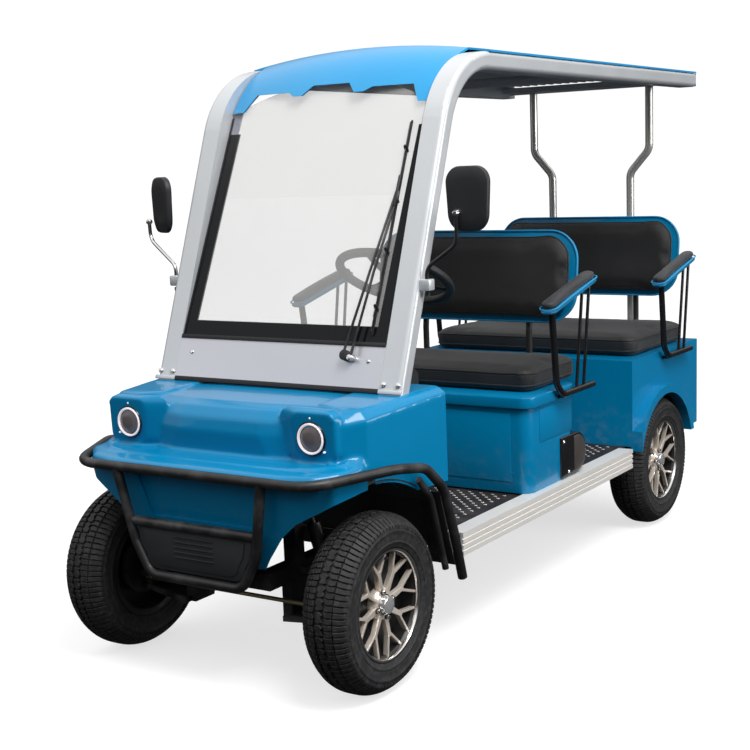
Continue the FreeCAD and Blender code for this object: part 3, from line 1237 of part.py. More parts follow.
# A round-backed housing in the notch of the front seat box, on the driver's side
def make_side_box():
    low = Vector(s.side_box_inner_x, s.side_box_front_y, s.sill_top + s.running_gap)
    width = s.side_box_outer_x - s.side_box_inner_x
    radius = s.side_box_height / 2
    square = block(low, low + Vector(width, s.side_box_length - radius, s.side_box_height))
    end = Part.makeCylinder(radius, width, low + Vector(0, s.side_box_length - radius, radius), X_AXIS)
    return square.fuse(end).removeSplitter()


keep(feature("side_housing", make_side_box()), "side_box")

# Tail lamps and tow plate on the rear wall
lamps = [rod(f"tail_{name}", "tail_lamp_radius", "tail_lamp_depth", f"{sign} * tail_lamp_x",
             "rear_body_rear_y + running_gap", "tail_lamp_z", ALONG_Y)
         for name, sign in (("left", 1), ("right", -1))]
tails = doc.addObject("Part::Compound", "tails")
tails.Links = lamps
keep(tails, "tail_lamps")

tow = body("tow_plate")
tow_plan = [("-tow_plate_width / 2", frame_rear_y), ("tow_plate_width / 2", frame_rear_y),
            ("tow_plate_width / 2", f"{frame_rear_y} + tow_plate_length"),
            ("-tow_plate_width / 2", f"{frame_rear_y} + tow_plate_length")]
pad(tow, "tow_slab", outline(tow, "tow_plan", "XY_Plane", [tow_plan], "frame_top - frame_tube"),
    "tow_plate_wall")
tow_hole = outline(tow, "tow_centre", "XY_Plane", [], "frame_top - frame_tube + tow_plate_wall")
tow_hole.addGeometry(Part.Circle(Vector(0, FRAME_REAR_Y + s.tow_plate_length - s.tow_hole_inset, 0), Z_AXIS,
                                 s.tow_bore_radius))
tow_hole.addConstraint(Sketcher.Constraint("DistanceX", -1, 1, 0, 3, 0))
index = tow_hole.addConstraint(Sketcher.Constraint("DistanceY", -1, 1, 0, 3,
                                                   FRAME_REAR_Y + s.tow_plate_length))
tow_hole.setExpression(f"Constraints[{index}]",
                       in_sheet(f"{frame_rear_y} + tow_plate_length - tow_hole_inset"))
index = tow_hole.addConstraint(Sketcher.Constraint("Radius", 0, s.tow_bore_radius))
tow_hole.setExpression(f"Constraints[{index}]", in_sheet("tow_bore_radius"))
pocket(tow, "tow_bore", tow_hole, "tow_plate_wall")
keep(tow, "tow_plate")


doc.recompute()
for item in doc.Objects:
    if "Invalid" in item.State or "Error" in item.State:
        raise RuntimeError(f"{item.Name} is {item.State}")
for node, item in PARTS.items():
    if item.Shape.isNull() or not item.Shape.isValid() or not item.Shape.Solids:
        raise RuntimeError(f"{node} has no sound shape")

os.makedirs("parts", exist_ok=True)
for node, item in PARTS.items():
    item.Shape.exportStep(f"parts/{node}.step")
print(f"{len(PARTS)} parts written")
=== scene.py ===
import math

import bmesh
import bpy
import numpy as np
from mathutils import Matrix, Vector
from mathutils.bvhtree import BVHTree


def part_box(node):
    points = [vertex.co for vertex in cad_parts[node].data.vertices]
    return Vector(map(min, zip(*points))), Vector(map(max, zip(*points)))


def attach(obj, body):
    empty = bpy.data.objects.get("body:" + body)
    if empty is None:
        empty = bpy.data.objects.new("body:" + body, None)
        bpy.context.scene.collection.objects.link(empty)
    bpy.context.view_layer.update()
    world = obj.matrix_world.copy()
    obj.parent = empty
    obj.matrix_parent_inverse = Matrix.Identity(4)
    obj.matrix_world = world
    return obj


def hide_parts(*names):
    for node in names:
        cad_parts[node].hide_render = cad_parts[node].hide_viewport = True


# A golf cart with two bench rows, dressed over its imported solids.
# Metres, X to the driver's left, Y to the rear, Z up.
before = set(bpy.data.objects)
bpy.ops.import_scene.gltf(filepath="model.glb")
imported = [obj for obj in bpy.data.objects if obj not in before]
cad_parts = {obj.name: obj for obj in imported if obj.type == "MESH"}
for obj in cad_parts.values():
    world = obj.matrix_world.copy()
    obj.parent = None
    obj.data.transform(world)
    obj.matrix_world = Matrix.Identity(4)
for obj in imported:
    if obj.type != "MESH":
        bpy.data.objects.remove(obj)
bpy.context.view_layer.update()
SCENE = bpy.context.scene
WHEELS = [(end, side) for end in ("front", "rear") for side in ("left", "right")]
WHEEL_RADIUS = 0.266
UP = Vector((0, 0, 1))


# Camera, floor and light
CAMERA_PLACE = (2.567, -4.255, 1.501)
CAMERA_VIEW = (-0.53593, 0.82607, -0.17432)
CAMERA_ROLL = math.radians(-2.16)
CAMERA_LENS = 64.42
CAMERA_SHIFT = (-0.0282, 0.0405)


def set_camera():
    """The camera stands where the photograph was taken, rolled a little to the left."""
    view = Vector(CAMERA_VIEW).normalized()
    level = view.cross(UP).normalized()
    rise = level.cross(view)
    right = level * math.cos(CAMERA_ROLL) + rise * math.sin(CAMERA_ROLL)
    top = rise * math.cos(CAMERA_ROLL) - level * math.sin(CAMERA_ROLL)
    data = bpy.data.cameras.new("view")
    data.sensor_width = 36.0
    data.lens = CAMERA_LENS
    data.shift_x, data.shift_y = CAMERA_SHIFT
    data.clip_end = 200.0
    camera = bpy.data.objects.new("view", data)
    SCENE.collection.objects.link(camera)
    turn = Matrix((right, top, -view)).transposed()
    camera.matrix_world = Matrix.Translation(CAMERA_PLACE) @ turn.to_4x4()
    SCENE.camera = camera


def soft_lamp(name, place, target, width, height, power):
    data = bpy.data.lights.new(name, "AREA")
    data.shape = "RECTANGLE"
    data.size = width
    data.size_y = height
    data.energy = power
    lamp = bpy.data.objects.new(name, data)
    SCENE.collection.objects.link(lamp)
    lamp.location = place
    lamp.rotation_euler = (Vector(target) - Vector(place)).to_track_quat("-Z", "Y").to_euler()


# Node graphs: one way to add a node, and signs that add Math nodes
class Graph:
    """The nodes of a material or of a Geometry Nodes tree."""
    def __init__(self, tree):
        self.tree = tree

    def node(self, kind, settings=None, sockets=None):
        """A node with its settings made first, then the values or links of its sockets."""
        made = self.tree.nodes.new(kind)
        for key, value in (settings or {}).items():
            if key == "stops":
                ramp = made.color_ramp
                while len(ramp.elements) < len(value):
                    ramp.elements.new(1.0)
                for stop, (position, colour) in zip(ramp.elements, value):
                    stop.position = position
                    stop.color = colour
            else:
                setattr(made, key, value)
        for key, value in (sockets or {}).items():
            value = value.socket if isinstance(value, Value) else value
            if isinstance(value, bpy.types.NodeSocket):
                self.tree.links.new(value, made.inputs[key])
            else:
                made.inputs[key].default_value = value
        return made

    def out(self, kind, settings=None, sockets=None, port=0):
        return Value(self, self.node(kind, settings, sockets).outputs[port])


class Value:
    """A socket that Python's signs work on."""
    def __init__(self, graph, socket):
        self.graph = graph
        self.socket = socket

    def maths(self, operation, first, second=0.0):
        return self.graph.out("ShaderNodeMath", {"operation": operation}, {0: first, 1: second})

    def __add__(self, other):
        return self.maths("ADD", self, other)

    def __radd__(self, other):
        return self.maths("ADD", other, self)

    def __sub__(self, other):
        return self.maths("SUBTRACT", self, other)

    def __rsub__(self, other):
        return self.maths("SUBTRACT", other, self)

    def __mul__(self, other):
        return self.maths("MULTIPLY", self, other)

    def __rmul__(self, other):
        return self.maths("MULTIPLY", other, self)

    def __truediv__(self, other):
        return self.maths("DIVIDE", self, other)

    def __abs__(self):
        return self.maths("ABSOLUTE", self)

    def most(self, other):
        return self.maths("MAXIMUM", self, other)

    def least(self, other):
        return self.maths("MINIMUM", self, other)

    def step(self, low, high):
        """0 below low and 1 above high, smooth between them."""
        return self.graph.out("ShaderNodeMapRange", {"interpolation_type": "SMOOTHSTEP"},
                              {"Value": self, "From Min": low, "From Max": high})


class Finish(Graph):
    """A material, with the patterns that the finishes share."""
    def __init__(self, name, **constants):
        self.material = bpy.data.materials.new(name)
        self.material.use_nodes = True
        super().__init__(self.material.node_tree)
        self.tree.nodes.clear()
        self.shader = self.node("ShaderNodeBsdfPrincipled", None,
                                {key.replace("_", " "): value for key, value in constants.items()})
        self.surface = self.node("ShaderNodeOutputMaterial", None, {"Surface": self.shader.outputs[0]})
        self.place = self.node("ShaderNodeTexCoord").outputs["Object"]
        parts = self.node("ShaderNodeSeparateXYZ", None, {0: self.place})
        self.x, self.y, self.z = (Value(self, parts.outputs[i]) for i in range(3))

    def feed(self, socket, value):
        self.tree.links.new(value.socket, self.shader.inputs[socket])

    def stretched(self, scale):
        return self.node("ShaderNodeMapping", None, {"Vector": self.place, "Scale": scale}).outputs[0]

    def cloud(self, scale, detail=3.0, stretch=(1, 1, 1)):
        return self.out("ShaderNodeTexNoise", None, {"Vector": self.stretched(stretch), "Scale": scale,
                                                     "Detail": detail, "Roughness": 0.55})

    def cells(self, scale, feature="F1"):
        return self.out("ShaderNodeTexVoronoi", {"feature": feature}, {"Vector": self.place, "Scale": scale})

    def colour(self, mask, first, second):
        """A colour that goes from the first to the second as the mask goes from 0 to 1."""
        return self.out("ShaderNodeMix", {"data_type": "RGBA"}, {0: mask, 6: first, 7: second}, port=2)

    def tone(self, mask, first, second):
        return first + mask * (second - first)

    def edges(self):
        """Bright where the form turns outwards, for wear."""
        return self.out("ShaderNodeNewGeometry", port="Pointiness").step(0.51, 0.54)

    def bump(self, height, distance, strength):
        sockets = {"Strength": strength, "Distance": distance, "Height": height}
        made = self.node("ShaderNodeBump", None, sockets)
        self.tree.links.new(made.outputs[0], self.shader.inputs["Normal"])


def rgb(red, green, blue):
    return (red, green, blue, 1.0)


# Finishes
def lacquer(name, deep, light):
    """Moulded plastic with a deep glossy lacquer, and dust low down."""
    made = Finish(name, Coat_Weight=0.38, Coat_Roughness=0.03, IOR=1.25)
    drift = made.cloud(2.2, 2.0)
    dust = (0.62 - made.z).step(0.0, 0.35) * made.cloud(26.0, 5.0).step(0.45, 0.75)
    body = made.colour(drift, rgb(*deep), rgb(*light))
    made.feed("Base Color", made.colour(dust * 0.22, body, rgb(0.30, 0.30, 0.28)))
    made.feed("Roughness", made.tone(dust, 0.28, 0.55))
    made.bump(made.cloud(55.0, 1.0), 0.0004, 0.25)
    return made.material


def satin_metal(name, light, dark, roughness, grain=(1, 1, 90), scale=60.0, metallic=1.0):
    """Metal with drawn lines along one way, and faint finger marks."""
    made = Finish(name, Metallic=metallic)
    lines = made.cloud(scale, 3.0, grain)
    smears = made.cloud(7.0, 4.0)
    made.feed("Base Color", made.colour(lines * 0.6 + smears * 0.4, rgb(*dark), rgb(*light)))
    made.feed("Roughness", made.tone(smears, roughness - 0.07, roughness + 0.09))
    made.bump(lines, 0.0002, 0.12)
    return made.material


def powder_coat(name, base, worn, roughness=0.42):
    """Satin paint on steel: a fine orange peel, dust and rubbed edges."""
    made = Finish(name)
    speck = made.cloud(420.0, 2.0)
    patch = made.cloud(9.0, 4.0)
    rubbed = made.edges() * patch.step(0.45, 0.7)
    tint = made.colour(patch.step(0.4, 0.8) * 0.5, rgb(*base), rgb(*(1.9 * part + 0.006 for part in base)))
    made.feed("Base Color", made.colour(rubbed * 0.6, tint, rgb(*worn)))
    made.feed("Roughness", made.tone(patch, roughness - 0.06, roughness + 0.12))
    made.bump(speck, 0.0004, 0.3)
    return made.material


def moulded_plastic(name, base, scale=900.0, roughness=0.5, depth=0.0005):
    made = Finish(name)
    grain = made.cells(scale)
    fade = made.cloud(5.0, 3.0)
    made.feed("Base Color", made.colour(fade, rgb(*base), rgb(*(1.5 * part + 0.004 for part in base))))
    made.feed("Roughness", made.tone(fade, roughness - 0.05, roughness + 0.1))
    made.bump(grain, depth, 0.35)
    return made.material


def vinyl(name, base, sheen, scale=260.0):
    """Matte seat vinyl: small leather cells, soft creases and rubbed high spots."""
    made = Finish(name, Sheen_Weight=0.12, Sheen_Roughness=0.5)
    cell = made.cells(scale, "DISTANCE_TO_EDGE")
    crease = made.cloud(34.0, 5.0, (1, 1, 1.8))
    rub = made.cloud(6.0, 3.0)
    made.feed("Base Color", made.colour(rub.step(0.35, 0.75), rgb(*base), rgb(*sheen)))
    made.feed("Roughness", made.tone(rub, 0.48, 0.66))
    made.bump(cell.least(0.12) * 6.0 + crease * 0.8, 0.0007, 0.45)
    return made.material


def tread_rubber(name):
    made = Finish(name)
    dust = made.cloud(70.0, 5.0)
    fine = made.cloud(600.0, 3.0)
    dusty = dust.step(0.42, 0.78) * 0.75
    made.feed("Base Color", made.colour(dusty, rgb(0.010, 0.0105, 0.012), rgb(0.052, 0.050, 0.046)))
    made.feed("Roughness", made.tone(dust, 0.5, 0.82))
    made.bump(fine + dust * 2.0, 0.0006, 0.5)
    return made.material


def stair_mat(name):
    """A dark ribbed mat with a fine weave, walked grey in the middle."""
    made = Finish(name)
    weave = made.cells(140.0, "DISTANCE_TO_EDGE")
    dust = made.cloud(12.0, 5.0)
    walked = dust.step(0.4, 0.8)
    made.feed("Base Color", made.colour(walked, rgb(0.012, 0.009, 0.009), rgb(0.045, 0.036, 0.034)))
    made.feed("Roughness", made.tone(dust, 0.45, 0.75))
    made.bump(weave, 0.001, 0.6)
    return made.material


BORDER_X = 0.3535
BORDER_TOP_Z = 1.632
BORDER_LOW_Z = 1.035


def safety_glass(name):
    """A clear pane with a black fired border, wide below and thinner up each side."""
    made = Finish(name, IOR=1.25)
    side = abs(made.x).step(BORDER_X, BORDER_X + 0.001) * (BORDER_TOP_Z - made.z).step(0.0, 0.002)
    low = (BORDER_LOW_Z - made.z).step(0.0, 0.0015)
    border = side.most(low)
    upper = abs(made.x).step(0.362, 0.363) * (1.0 - border)
    haze = made.cloud(4.0, 3.0)
    clear = made.colour(upper, rgb(0.60, 0.60, 0.58), rgb(0.24, 0.25, 0.30))
    made.feed("Base Color", made.colour(border, clear, rgb(0.006, 0.007, 0.008)))
    made.feed("Roughness", made.tone(haze, 0.03, 0.08))
    made.feed("Alpha", (0.26 + haze * 0.05).most(upper * 0.75).most(border))
    return made.material


def polished(name, base, roughness, grain=120.0):
    made = Finish(name, Metallic=1.0)
    haze = made.cloud(grain, 4.0)
    made.feed("Base Color", made.colour(haze, rgb(*base), rgb(*(0.8 * part for part in base))))
    made.feed("Roughness", made.tone(haze, roughness, roughness + 0.12))
    made.bump(haze, 0.0001, 0.1)
    return made.material


def glowing(name, tint, strength):
    made = Finish(name, Roughness=0.25, Emission_Strength=strength)
    flicker = made.cloud(90.0, 2.0)
    made.feed("Base Color", made.colour(flicker, rgb(*tint), rgb(*(0.9 * part for part in tint))))
    made.feed("Emission Color", made.colour(flicker, rgb(*tint), rgb(*(0.85 * part for part in tint))))
    return made.material


def lens(name, tint, alpha=0.35, roughness=0.05):
    made = Finish(name, IOR=1.5, Coat_Weight=1.0)
    ribs = made.cloud(40.0, 1.0)
    made.feed("Base Color", made.colour(ribs, rgb(*tint), rgb(*(0.8 * part for part in tint))))
    made.feed("Roughness", made.tone(ribs, roughness, roughness + 0.06))
    made.feed("Alpha", alpha + ribs * 0.1)
    return made.material


PAINT = lacquer("body_lacquer", (0.0, 0.180, 0.375), (0.0, 0.220, 0.45))
# The roof's lacquer is the body's blue made lighter: a painted highlight for the light that the roof catches
# and reflects from above the front.
LIT_ROOF_PAINT = lacquer("roof_lacquer", (0.012, 0.27, 0.56), (0.03, 0.33, 0.66))
TRIM_BLUE = moulded_plastic("blue_piping", (0.01, 0.21, 0.42), 700.0, 0.38)
SILVER = satin_metal("hoop_silver", (0.70, 0.72, 0.74), (0.54, 0.56, 0.58), 0.34, metallic=0.35)
PANEL_SILVER = satin_metal("panel_silver", (0.74, 0.74, 0.78), (0.62, 0.62, 0.67), 0.30, (1, 60, 60),
                           metallic=0.6)
SILL_METAL = satin_metal("sill_aluminium", (0.96, 0.94, 0.90), (0.82, 0.79, 0.75), 0.32, (60, 1, 60),
                         metallic=0.3)
UPRIGHT_STEEL = satin_metal("upright_steel", (0.80, 0.79, 0.74), (0.60, 0.58, 0.53), 0.24, (50, 50, 1),
                            metallic=0.6)
BLACK_STEEL = powder_coat("black_coat", (0.010, 0.010, 0.011), (0.10, 0.10, 0.10))
FRAME_STEEL = powder_coat("frame_coat", (0.007, 0.007, 0.008), (0.07, 0.055, 0.045), 0.55)
BLACK_PLASTIC = moulded_plastic("grained_plastic", (0.011, 0.012, 0.013))
GUARD_PLASTIC = moulded_plastic("guard_plastic", (0.017, 0.020, 0.021), 420.0, 0.58, 0.0008)
GLOSS_BLACK = moulded_plastic("gloss_plastic", (0.006, 0.006, 0.007), 300.0, 0.16, 0.0001)
# A lighter brown for the outward face of the black side housing: painted light, for the lit face beside its
# shaded front.
LIT_FACE_BROWN = moulded_plastic("housing_cap", (0.045, 0.038, 0.035), 300.0, 0.34, 0.0002)
SEAT_VINYL = vinyl("seat_vinyl", (0.0030, 0.0032, 0.0036), (0.010, 0.010, 0.011))
PAD_VINYL = vinyl("armrest_vinyl", (0.016, 0.017, 0.019), (0.034, 0.035, 0.038), 320.0)
RUBBER = tread_rubber("tyre_rubber")
MAT = stair_mat("floor_mat")
STUD = satin_metal("mat_stud", (0.92, 0.88, 0.84), (0.76, 0.72, 0.68), 0.28, (9, 9, 9), metallic=0.4)
GLASS = safety_glass("windscreen_glass_clear")
CHROME = polished("polished_alloy", (0.86, 0.84, 0.82), 0.07)
RIM_FACE = satin_metal("machined_spokes", (0.90, 0.81, 0.72), (0.74, 0.65, 0.56), 0.20, (30, 30, 30),
                       metallic=0.5)
CAP_METAL = satin_metal("centre_cap", (0.92, 0.92, 0.92), (0.80, 0.80, 0.80), 0.12, (20, 20, 20),
                        metallic=0.75)
ALLOY_DARK = moulded_plastic("pocket_black", (0.008, 0.008, 0.008), 500.0, 0.35)
ZINC = satin_metal("yellow_zinc", (0.62, 0.52, 0.30), (0.45, 0.38, 0.24), 0.36, (1, 30, 30))
LAMP_RING = glowing("lamp_ring_light", (0.92, 0.86, 0.90), 0.55)
LAMP_LENS = lens("lamp_cover", (0.5, 0.5, 0.52), 0.06)
LAMP_EYE = satin_metal("lamp_eye", (0.20, 0.15, 0.145), (0.12, 0.085, 0.08), 0.22, (40, 40, 40), metallic=0.4)
TAIL_RED = lens("tail_lens", (0.42, 0.01, 0.012), 0.85, 0.08)
MIRROR = polished("mirror_silver", (0.90, 0.92, 0.93), 0.02, 8.0)
LINER = moulded_plastic("roof_lining", (0.36, 0.36, 0.36), 260.0, 0.55)
SEAL = moulded_plastic("rubber_seal", (0.008, 0.008, 0.009), 380.0, 0.6)


# Meshes
BOTH_SIDES = (("left", 1), ("right", -1))
QUARTER = math.pi / 2


def at(*place):
    return Matrix.Translation(place)


def spun(angle, axis):
    return Matrix.Rotation(angle, 4, axis)


def sideways(x):
    """A matrix that stands a flat outline of (y, z) on a plane across X."""
    return Matrix(((0, 0, 1, x), (1, 0, 0, 0), (0, 1, 0, 0), (0, 0, 0, 1)))


def link(name, mesh):
    made = bpy.data.objects.new(name, mesh)
    SCENE.collection.objects.link(made)
    return made


def mesh_of(name, corners, faces):
    mesh = bpy.data.meshes.new(name)
    mesh.from_pydata([tuple(corner) for corner in corners], [], faces)
    return mesh


def tidy(mesh, merge=0.00002):
    """Doubles merged and faces turned outwards."""
    work = bmesh.new()
    work.from_mesh(mesh)
    bmesh.ops.remove_doubles(work, verts=work.verts, dist=merge)
    bmesh.ops.recalc_face_normals(work, faces=work.faces)
    work.to_mesh(mesh)
    work.free()
    return mesh


def applied(made):
    """The object with its modifiers made part of its mesh."""
    bpy.context.view_layer.update()
    graph = bpy.context.evaluated_depsgraph_get()
    shown = made.evaluated_get(graph)
    mesh = bpy.data.meshes.new_from_object(shown, preserve_all_data_layers=True, depsgraph=graph)
    made.modifiers.clear()
    old = made.data
    made.data = mesh
    if old.users == 0:
        bpy.data.meshes.remove(old)
    return made


def modifier(made, kind, **settings):
    added = made.modifiers.new(kind.lower(), kind)
    for key, value in settings.items():
        setattr(added, key, value)
    return added


def take(made):
    """The mesh of a helper object, which is removed."""
    mesh = made.data
    bpy.data.objects.remove(made)
    return mesh


def softened(mesh, width, segments=2, angle=0.6):
    """A mesh with its edges rounded where they turn by more than the angle."""
    made = link("softened", mesh)
    modifier(made, "BEVEL", width=width, segments=segments, limit_method="ANGLE", angle_limit=angle,
             use_clamp_overlap=True, harden_normals=False)
    return take(applied(made))


def shade(made, angle):
    """Smooth shading that keeps the edges sharper than the angle."""
    mesh = made.data
    mesh.polygons.foreach_set("use_smooth", [True] * len(mesh.polygons))
    work = bmesh.new()
    work.from_mesh(mesh)
    for edge in work.edges:
        edge.smooth = len(edge.link_faces) != 2 or edge.calc_face_angle(0.0) < angle
    work.to_mesh(mesh)
    work.free()


def dress(made, finish, replaces=(), angle=0.7, body="chassis"):
    """Give a finished piece its material, shading and body, and hide the parts it replaces."""
    if finish is not None:
        made.data.materials.clear()
        made.data.materials.append(finish)
    shade(made, angle)
    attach(made, body)
    if replaces:
        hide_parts(*replaces)
    return made


def piece(name, mesh, finish, replaces=(), angle=0.7, body="chassis"):
    return dress(link(name, mesh), finish, replaces, angle, body)


def joined(name, meshes):
    """One mesh of several, with their own materials kept."""
    work = bmesh.new()
    materials = []
    for mesh in meshes:
        start = len(work.faces)
        work.from_mesh(mesh)
        work.faces.ensure_lookup_table()
        for face in work.faces[start:]:
            own = mesh.materials[face.material_index] if mesh.materials else None
            if own not in materials:
                materials.append(own)
            face.material_index = materials.index(own)
    whole = bpy.data.meshes.new(name)
    work.to_mesh(whole)
    work.free()
    for own in materials:
        whole.materials.append(own)
    return whole


def painted(mesh, finish):
    mesh.materials.clear()
    mesh.materials.append(finish)
    return mesh


def moved(mesh, matrix):
    mesh.transform(matrix)
    if matrix.determinant() < 0:
        mesh.flip_normals()
    return mesh


def mirror_of(mesh):
    return moved(mesh.copy(), Matrix.Scale(-1, 4, (1, 0, 0)))


def bands(rings, count, loop=False, open_ring=False):
    """The faces between rings of so many corners that follow each other."""
    faces = []
    for i in range(rings if loop else rings - 1):
        j = (i + 1) % rings
        for k in range(count - 1 if open_ring else count):
            after = (k + 1) % count
            faces.append((i * count + k, i * count + after, j * count + after, j * count + k))
    return faces


def skin(name, rings, loop=False, open_ring=False, capped=True):
    """A skin over rings of corners, closed at both ends where it is capped."""
    count = len(rings[0])
    corners = [corner for ring in rings for corner in ring]
    faces = bands(len(rings), count, loop, open_ring)
    if capped:
        faces.append(tuple(reversed(range(count))))
        faces.append(tuple(range(len(corners) - count, len(corners))))
    return tidy(mesh_of(name, corners, faces))


def prism(outline, thickness):
    """A closed prism from a counter-clockwise outline in the XY plane, up by the thickness."""
    count = len(outline)
    corners = [(x, y, z) for z in (0.0, thickness) for x, y in outline]
    faces = [list(reversed(range(count))), list(range(count, 2 * count))]
    return mesh_of("prism", corners, faces + bands(2, count))


def block(low, high):
    outline = [(low[0], low[1]), (high[0], low[1]), (high[0], high[1]), (low[0], high[1])]
    return moved(prism(outline, high[2] - low[2]), at(0, 0, low[2]))


def circle(radius, sides=12, flat=1.0):
    angles = [math.tau * i / sides for i in range(sides)]
    return [(radius * math.cos(angle), flat * radius * math.sin(angle)) for angle in angles]


def round_rect(width, height, corner, steps=8, taper=1.0):
    """A rectangle with round corners about the origin, its lower edge narrower by the taper."""
    points = []
    for quarter, (sx, sy) in enumerate(((1, 1), (-1, 1), (-1, -1), (1, -1))):
        middle_x = sx * (width / 2 - corner)
        middle_y = sy * (height / 2 - corner)
        for step in range(steps + 1):
            angle = QUARTER * (quarter + step / steps)
            points.append((middle_x + corner * math.cos(angle), middle_y + corner * math.sin(angle)))
    return [(x * (taper + (1 - taper) * (y / height + 0.5)), y) for x, y in points]


def lathe(profile, segments=64, closed=False):
    """A form turned about the X axis from points of (x, radius)."""
    rings = []
    for i in range(segments):
        angle = math.tau * i / segments
        rings.append([(x, radius * math.cos(angle), radius * math.sin(angle)) for x, radius in profile])
    return skin("turned", rings, loop=True, open_ring=not closed, capped=False)


def rounded_path(points, bend, steps=8):
    """A line through the points with a smooth arc at each corner."""
    points = [Vector(point) for point in points]
    path = [points[0]]
    for before, corner, after in zip(points, points[1:], points[2:]):
        incoming = (corner - before).normalized()
        outgoing = (after - corner).normalized()
        half = incoming.angle(outgoing) / 2
        shorter = min((corner - before).length, (after - corner).length)
        reach = min(bend * math.tan(half), 0.48 * shorter)
        enter = corner - incoming * reach
        leave = corner + outgoing * reach
        for step in range(steps + 1):
            t = step / steps
            path.append(enter * (1 - t) ** 2 + corner * 2 * t * (1 - t) + leave * t ** 2)
    path.append(points[-1])
    return path


def sweep(path, section, loop=False, scale=None):
    """A tube that carries a closed section of (across, up) points along a path."""
    path = [Vector(point) for point in path]
    count = len(path)
    ahead = []
    for i in range(count):
        before = path[i - 1] if (i or loop) else path[i]
        after = path[(i + 1) % count] if (i < count - 1 or loop) else path[i]
        ahead.append((after - before).normalized())
    lift = UP if abs(ahead[0].z) < 0.9 else Vector((1, 0, 0))
    rings = []
    for i in range(count):
        side = ahead[i].cross(lift).normalized()
        lift = side.cross(ahead[i]).normalized()
        size = scale(i / (count - 1)) if scale else 1.0
        rings.append([path[i] + side * (a * size) + lift * (b * size) for a, b in section])
    return skin("swept", rings, loop, capped=not loop)


def hull(points):
    work = bmesh.new()
    for point in points:
        work.verts.new(point)
    result = bmesh.ops.convex_hull(work, input=work.verts)
    inner = [item for item in result["geom_interior"] if isinstance(item, bmesh.types.BMVert)]
    bmesh.ops.delete(work, geom=inner, context="VERTS")
    mesh = bpy.data.meshes.new("hull")
    work.to_mesh(mesh)
    work.free()
    return tidy(mesh)


def ball_hull(centres):
    """The form stretched over spheres of (x, y, z, radius), for soft-edged bodies."""
    points = []
    for x, y, z, radius in centres:
        for i in range(7):
            up = math.pi * i / 6 - QUARTER
            across = radius * math.cos(up)
            rise = z + radius * math.sin(up)
            for k in range(12 if 0 < i < 6 else 1):
                angle = math.tau * k / 12
                points.append((x + across * math.cos(angle), y + across * math.sin(angle), rise))
    return hull(points)


# Geometry Nodes: what repeats round an axis, in a grid, along a line or at marked places
def tree_of(name, inputs):
    tree = bpy.data.node_groups.new(name, "GeometryNodeTree")
    tree.interface.new_socket("Geometry", in_out="INPUT", socket_type="NodeSocketGeometry")
    for label, kind in {**inputs, "Material": "Material"}.items():
        tree.interface.new_socket(label, in_out="INPUT", socket_type=f"NodeSocket{kind}")
    tree.interface.new_socket("Geometry", in_out="OUTPUT", socket_type="NodeSocketGeometry")
    graph = Graph(tree)
    return graph, graph.node("NodeGroupInput").outputs


def close_tree(graph, given, places, copied, rotation=None):
    """Copies at the places, made real and given their material."""
    sockets = {"Points": places, "Instance": copied}
    if rotation is not None:
        sockets["Rotation"] = rotation
    copies = graph.out("GeometryNodeInstanceOnPoints", None, sockets)
    real = graph.out("GeometryNodeRealizeInstances", None, {0: copies})
    done = graph.out("GeometryNodeSetMaterial", None, {"Geometry": real, "Material": given["Material"]})
    graph.node("NodeGroupOutput", None, {0: done})
    return graph.tree


def ring_tree():
    graph, given = tree_of("Repeat round an axis", {"Count": "Int"})
    marks = graph.out("GeometryNodeMeshLine", None, {"Count": given["Count"], "Offset": (0, 0, 0)})
    angle = graph.out("GeometryNodeInputIndex") * math.tau / Value(graph, given["Count"])
    rotation = graph.out("ShaderNodeCombineXYZ", None, {0: angle})
    return close_tree(graph, given, marks, given["Geometry"], rotation)


def grid_tree():
    inputs = {"Width": "Float", "Length": "Float", "Columns": "Int", "Rows": "Int"}
    graph, given = tree_of("Repeat in a grid", inputs)
    sizes = {"Size X": "Width", "Size Y": "Length", "Vertices X": "Columns", "Vertices Y": "Rows"}
    marks = graph.out("GeometryNodeMeshGrid", None, {key: given[value] for key, value in sizes.items()})
    return close_tree(graph, given, marks, given["Geometry"])


def line_tree():
    """Copies of one small piece at even steps along a line, each turned along it."""
    graph, given = tree_of("Repeat along a line", {"Piece": "Object", "Step": "Float"})
    curve = graph.out("GeometryNodeMeshToCurve", None, {0: given["Geometry"]})
    sockets = {"Curve": curve, "Length": given["Step"]}
    marks = graph.node("GeometryNodeCurveToPoints", {"mode": "LENGTH"}, sockets)
    copied = graph.node("GeometryNodeObjectInfo", None, {"Object": given["Piece"]}).outputs["Geometry"]
    return close_tree(graph, given, marks.outputs["Points"], copied, marks.outputs["Rotation"])


def mark_tree():
    """Copies of one fastener at marked places, each turned to face its own way."""
    graph, given = tree_of("Fasteners at marks", {"Piece": "Object"})
    way = graph.out("GeometryNodeInputNamedAttribute", {"data_type": "FLOAT_VECTOR"}, {"Name": "facing"},
                    port="Attribute")
    rotation = graph.out("FunctionNodeAlignRotationToVector", {"axis": "Z"}, {"Vector": way})
    copied = graph.node("GeometryNodeObjectInfo", None, {"Object": given["Piece"]}).outputs["Geometry"]
    return close_tree(graph, given, given["Geometry"], copied, rotation)


RING = ring_tree()
GRID = grid_tree()
LINE = line_tree()
MARKS = mark_tree()


def repeated(mesh, tree, **inputs):
    """A mesh put through one of the trees, as a plain mesh."""
    made = link("repeated", mesh)
    added = made.modifiers.new("repeat", "NODES")
    added.node_group = tree
    keys = {item.name: item.identifier for item in tree.interface.items_tree
            if item.item_type == "SOCKET" and item.in_out == "INPUT"}
    for label, value in inputs.items():
        added[keys[label]] = value
    return take(applied(made))


def bolt_mesh(radius, height):
    """A hexagon bolt head on a washer, pointing up."""
    washer = prism(circle(radius * 1.5, 16), height * 0.3)
    head = moved(prism(circle(radius * 1.1, 6), height * 0.8), at(0, 0, height * 0.3))
    return softened(joined("bolt_head", [washer, head]), height * 0.14)


